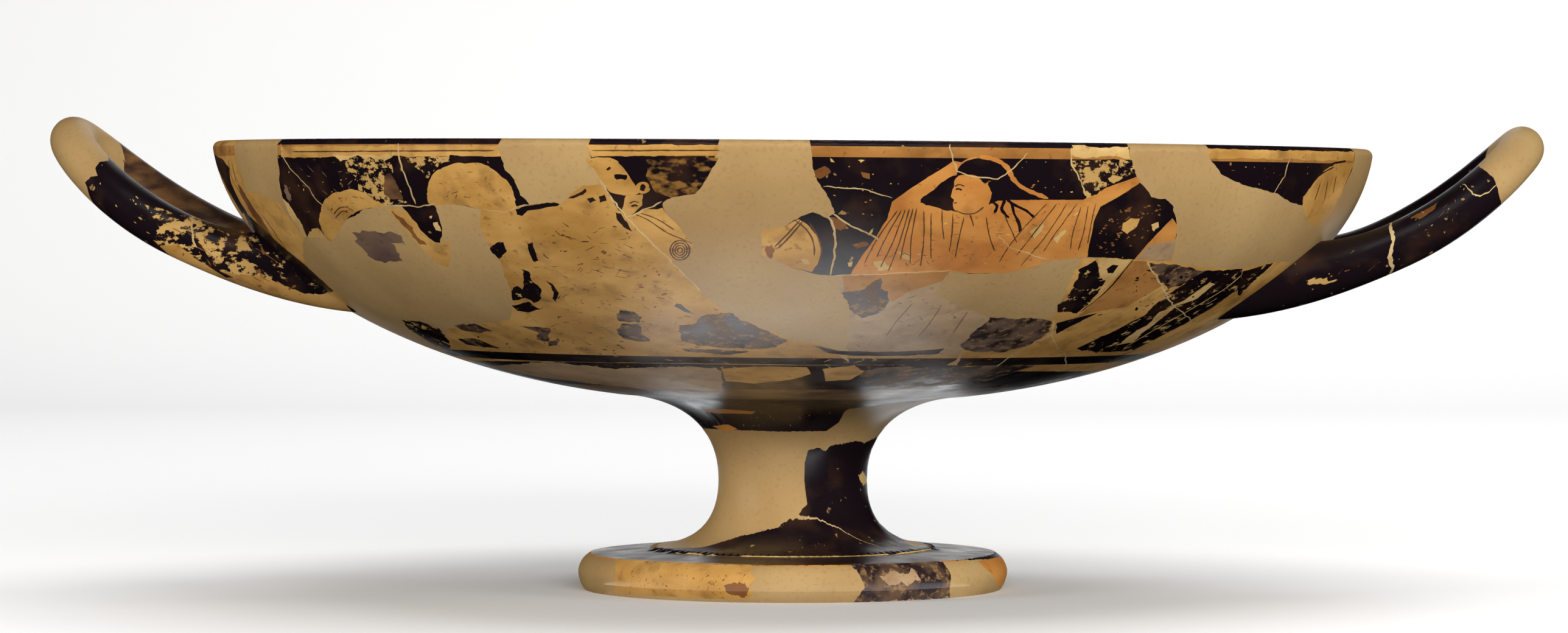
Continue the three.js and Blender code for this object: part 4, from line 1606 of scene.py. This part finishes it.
def handle_points(chart, side):
    """Places on a handle for points of its chart; side is 1 for the right handle and -1 for the left."""
    places = rod_points(*rod_place(chart))
    places[:, :2] *= side
    return lean(places)


def handle_normals(points, faces, side):
    """Outward directions at each corner of a handle's faces."""
    spokes = rod_spokes(*rod_place(points))
    spokes[:, :2] *= side
    return spokes[faces]


def handle_samples(side):
    """Points of a handle's chart on the near limb, where it faces the camera."""
    x = np.linspace(1, LOOP - 1, HANDLE_GRID[0])
    y = np.linspace(-ROD_SEAM, ROD_SEAM, HANDLE_GRID[1])
    grid = facing_samples(x, y, lambda chart: handle_points(chart, side), 2 * PROBE)
    return grid[handle_points(grid, side)[:, 1] < 0]


def spots_on_handle(pixels, side):
    """The handle's points that fall on these pixels."""
    return chart_from_picture(pixels, lambda chart: handle_points(chart, side), handle_samples(side))


def on_handle(pixels, side, closed=True):
    """The chart's points on a line or outline of the picture."""
    return spots_on_handle(divide(pixels, HANDLE_PIXELS, closed), side)


def handle_fill(run_low, run_high):
    """An outline right round the rod between two runs along the loop."""
    seam = ROD_SEAM + SEAM_REACH
    corners = [(run_low, -seam), (run_high, -seam), (run_high, seam), (run_low, seam)]
    return ragged(divide(corners, LINE_STEP), HANDLE_FILL_WANDER)


def handle_layers(side):
    """Paint and outline of all that lies on a handle, in order, within its chart."""
    layers = [(paint, handle_fill(*runs)) for paint, *runs in HANDLE_FILLS[side]]
    for paint, pixels in HANDLE_PAINT[side].values():
        layers.append((paint, ragged(divide(on_handle(pixels, side), OUTLINE_STEP), RAGGEDNESS[paint])))
    for seed, (paint, *how) in enumerate(HANDLE_STREWN[side].values()):
        layers += [(paint, spot) for spot in strewn(*how, seed, lambda pixels: spots_on_handle(pixels, side))]
    for width, pixels in HANDLE_CRACKS[side].values():
        line = divide(on_handle(pixels, side, closed=False), LINE_STEP, closed=False)
        layers.append(("crack", stroke(ragged(line, HANDLE_CRACK_WANDER), width)))
    for _, outline in layers:
        outline[:, 0] = np.clip(outline[:, 0], END_GAP, LOOP - END_GAP)
        outline[:, 1] = np.clip(outline[:, 1], -ROD_SEAM + SEAM_GAP, ROD_SEAM - SEAM_GAP)
    return layers


def handle_net(layers):
    """A handle's chart with its rows and its outlines."""
    net = Net()
    columns = np.linspace(-ROD_SEAM, ROD_SEAM, ROD_COLUMNS)
    for x in np.linspace(0, LOOP, LOOP_ROWS):
        net.add(np.stack([np.full(ROD_COLUMNS, x), columns], axis=1))
    for _, outline in layers:
        net.add(outline, closed=True, fixed=True)
    return net


def rod_end(x, side):
    """The middle of the ring that closes the rod at one end of its chart."""
    ring = np.stack([np.full(ROOT_CORNERS, x), ROOT_TURNS * ROD_CHART], axis=1)
    return handle_points(ring, side).mean(axis=0)


def handle_piece(side):
    """One painted handle, closed inside the bowl's wall."""
    layers = handle_layers(side)
    points, faces = handle_net(layers).triangles()
    middles = points[faces].mean(axis=1)
    middles[:, 1] = np.clip(middles[:, 1], -ROD_SEAM + 2 * SEAM_GAP, ROD_SEAM - 2 * SEAM_GAP)
    paint_of = np.full(len(faces), SLOT["slip"])
    covered(paint_of, middles, layers)
    name = "handle_right" if side > 0 else "handle_left"
    normals = handle_normals(points, faces, side)
    piece = add_object(name, handle_points(points, side), faces, paint_of, normals)
    close_ends(piece, [rod_end(x, side) for x in (0, LOOP)])
    return piece


def join(whole, part):
    """Unites two closed meshes into one."""
    cut = whole.modifiers.new("join", "BOOLEAN")
    cut.operation = "UNION"
    cut.solver = "MANIFOLD"
    cut.object = part
    bpy.context.view_layer.update()
    united = bpy.data.meshes.new_from_object(whole.evaluated_get(bpy.context.evaluated_depsgraph_get()))
    whole.modifiers.remove(cut)
    whole.data = united
    bpy.data.objects.remove(part)


def whole_cup():
    """The body and its two handles, painted, in one closed mesh."""
    body = body_piece()
    materials = paint_materials()
    handles = [handle_piece(side) for side in (1, -1)]
    for piece in (body, *handles):
        for paint in PAINTS:
            piece.data.materials.append(materials[paint])
    for handle in handles:
        join(body, handle)
    shade(body)
    return body


kylix = whole_cup()
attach(kylix, "root")
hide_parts("kylix_cup")


# The stage, in metres: a pale floor that sweeps up behind, and soft light.
FLOOR_NEAR, FLOOR_FAR, FLOOR_HALF_WIDTH = -6.0, 2.2, 7.0
SWEEP_RADIUS, SWEEP_STEPS, WALL_TOP = 0.9, 12, 4.0
PATCH_NEAR, PATCH_FAR = -0.2, 0.3  # under the cup
PATCH_HALF_WIDTH = 0.05  # only this much of the floor under the cup is mirrored in the gloss
BACK_HALF_WIDTH = 0.35  # and this much of the floor and wall behind it
PAPER_COLOUR, PAPER_ROUGHNESS = (0.84, 0.845, 0.855, 1), 0.9
LOW_GLOW, HIGH_GLOW, GLOW_FROM, GLOW_TO = 0.5, 0.06, -0.95, -0.45
ROOM_COLOUR = (1.0, 0.97, 0.93, 1)
WARM, WHITE, COOL = (1, 0.97, 0.92), (1, 1, 1), (0.92, 0.96, 1)
# Place, aim, size, power in watts, colour, and the kinds of ray that don't see the lamp.
LAMPS = {
    "key": ((0.5, -2.1, 0.62), (0, 0, 0.06), (1.6, 0.7), 48, WARM, ("glossy",)),
    "left": ((-1.8, -0.8, 0.5), (0, 0, 0.08), (1.0, 0.8), 21, WARM, ("glossy",)),
    "right": ((1.9, -0.6, 0.6), (0, 0, 0.08), (1.0, 0.8), 17, WARM, ("glossy",)),
    "behind": ((0.3, 1.4, 1.5), (0, 0, 0.1), (1.6, 0.8), 14, WHITE, ("glossy",)),
    "gloss": ((0.2, -1.3, 1.7), (0, 0, 0.08), (1.8, 0.9), 6, WHITE, ("diffuse",)),
    "card": ((0, -0.03, 0.003), (0, -0.03, 1.0), (0.1, 0.26), 0.2, COOL, ("diffuse", "camera")),
    "paper_light": ((0.5, 0.4, 3.0), (0.2, 0.9, 0.0), (3.4, 2.4), 68, WHITE, ("glossy",)),
    "paper_front": ((0.0, -2.4, 0.9), (0.0, -0.1, 0.0), (2.4, 0.6), 14, WHITE, ("glossy",)),
}
PAPER_LAMPS = ("paper_light", "paper_front")  # these light the floor and wall alone


def paper():
    """Pale paper that is clear from its back, so that it hides nothing from behind or below."""
    shader = Shader("paper")
    shader.surface.inputs["Base Color"].default_value = PAPER_COLOUR
    shader.surface.inputs["Roughness"].default_value = PAPER_ROUGHNESS
    faced = shader.nodes.new("ShaderNodeNewGeometry").outputs["Backfacing"]
    both = shader.nodes.new("ShaderNodeMixShader")
    shader.links.new(faced, both.inputs[0])
    shader.links.new(shader.surface.outputs[0], both.inputs[1])
    shader.links.new(shader.nodes.new("ShaderNodeBsdfTransparent").outputs[0], both.inputs[2])
    shader.links.new(both.outputs[0], shader.nodes["Material Output"].inputs["Surface"])
    return shader.material


def strip(line, left, right):
    """Corners and faces of a strip of floor or wall along a line of y and z."""
    places = [(x, y, z) for y, z in line for x in (left, right)]
    return places, [(2 * k, 2 * k + 1, 2 * k + 3, 2 * k + 2) for k in range(len(line) - 1)]


def stage_piece(name, strips, material, mirrored):
    """A piece of the stage that throws no light on the cup, and may or may not show in its gloss."""
    places, faces = [], []
    for corners, quads in strips:
        faces += [tuple(len(places) + k for k in quad) for quad in quads]
        places += corners
    mesh = bpy.data.meshes.new(name)
    mesh.from_pydata(places, [], faces)
    mesh.materials.append(material)
    mesh.polygons.foreach_set("use_smooth", [True] * len(faces))
    piece = bpy.data.objects.new(name, mesh)
    bpy.context.scene.collection.objects.link(piece)
    piece.visible_diffuse = False
    piece.visible_glossy = mirrored
    return piece


def sweep_line():
    """The floor behind the cup, the sweep and the wall, from the side."""
    curve_start = FLOOR_FAR - SWEEP_RADIUS
    line = [(PATCH_FAR, 0.0), (curve_start, 0.0)]
    for k in range(1, SWEEP_STEPS + 1):
        turn = math.pi / 2 * k / SWEEP_STEPS
        line.append((curve_start + SWEEP_RADIUS * math.sin(turn), SWEEP_RADIUS * (1 - math.cos(turn))))
    return line + [(FLOOR_FAR, WALL_TOP)]


def sweep():
    """Floor and wall. A middle strip of them shows in the cup's gloss, and the rest doesn't."""
    wide = FLOOR_HALF_WIDTH
    under = [(PATCH_NEAR, 0.0), (PATCH_FAR, 0.0)]
    plain, mirrored = [strip(((FLOOR_NEAR, 0.0), (PATCH_NEAR, 0.0)), -wide, wide)], []
    for line, inner in ((under, PATCH_HALF_WIDTH), (sweep_line(), BACK_HALF_WIDTH)):
        plain += [strip(line, -wide, -inner), strip(line, inner, wide)]
        mirrored.append(strip(line, -inner, inner))
    material = paper()
    lit = bpy.data.collections.new("paper_only")
    lit.objects.link(stage_piece("floor", plain, material, False))
    lit.objects.link(stage_piece("floor_patch", mirrored, material, True))
    return lit


def area_light(name, place, aim, size, power, colour, unseen):
    """A soft lamp that faces its aim."""
    data = bpy.data.lights.new(name, "AREA")
    data.shape = "RECTANGLE"
    data.size, data.size_y = size
    data.energy = power
    data.color = colour
    light = bpy.data.objects.new(name, data)
    light.location = place
    light.rotation_euler = (Vector(aim) - Vector(place)).to_track_quat("-Z", "Y").to_euler()
    light.visible_glossy = "glossy" not in unseen
    light.visible_diffuse = "diffuse" not in unseen
    light.visible_camera = "camera" not in unseen
    bpy.context.scene.collection.objects.link(light)
    return light


def lamps():
    """All lamps, and the floor and wall that two of them are for."""
    paper_only = sweep()
    for name, how in LAMPS.items():
        light = area_light(name, *how)
        if name in PAPER_LAMPS:
            light.light_linking.receiver_collection = paper_only


def camera():
    """The camera that the picture's outlines are measured with."""
    data = bpy.data.cameras.new("camera")
    data.sensor_fit = "HORIZONTAL"
    data.sensor_width = SENSOR_WIDTH
    data.lens = SENSOR_WIDTH * FOCAL_PIXELS / PHOTO_WIDTH
    data.clip_end = CLIP_END
    view = bpy.data.objects.new("camera", data)
    view.location = CAMERA_PLACE * MM
    view.rotation_euler = Vector(FORWARD).to_track_quat("-Z", "Y").to_euler()
    bpy.context.scene.collection.objects.link(view)
    bpy.context.scene.camera = view


def room():
    """A dim room: a little light from all round, and more from below, as off a pale table."""
    world = bpy.data.worlds.new("room")
    world.use_nodes = True
    nodes, links = world.node_tree.nodes, world.node_tree.links
    place = nodes.new("ShaderNodeTexCoord")
    parts = nodes.new("ShaderNodeSeparateXYZ")
    links.new(place.outputs["Generated"], parts.inputs[0])
    glow = map_range(nodes, links, parts.outputs["Z"], (GLOW_FROM, GLOW_TO, LOW_GLOW, HIGH_GLOW))
    back = nodes["Background"]
    back.inputs["Color"].default_value = ROOM_COLOUR
    links.new(glow, back.inputs["Strength"])
    world.cycles_visibility.glossy = False
    bpy.context.scene.world = world


lamps()
room()
bpy.context.scene.view_settings.view_transform = "Standard"
camera()
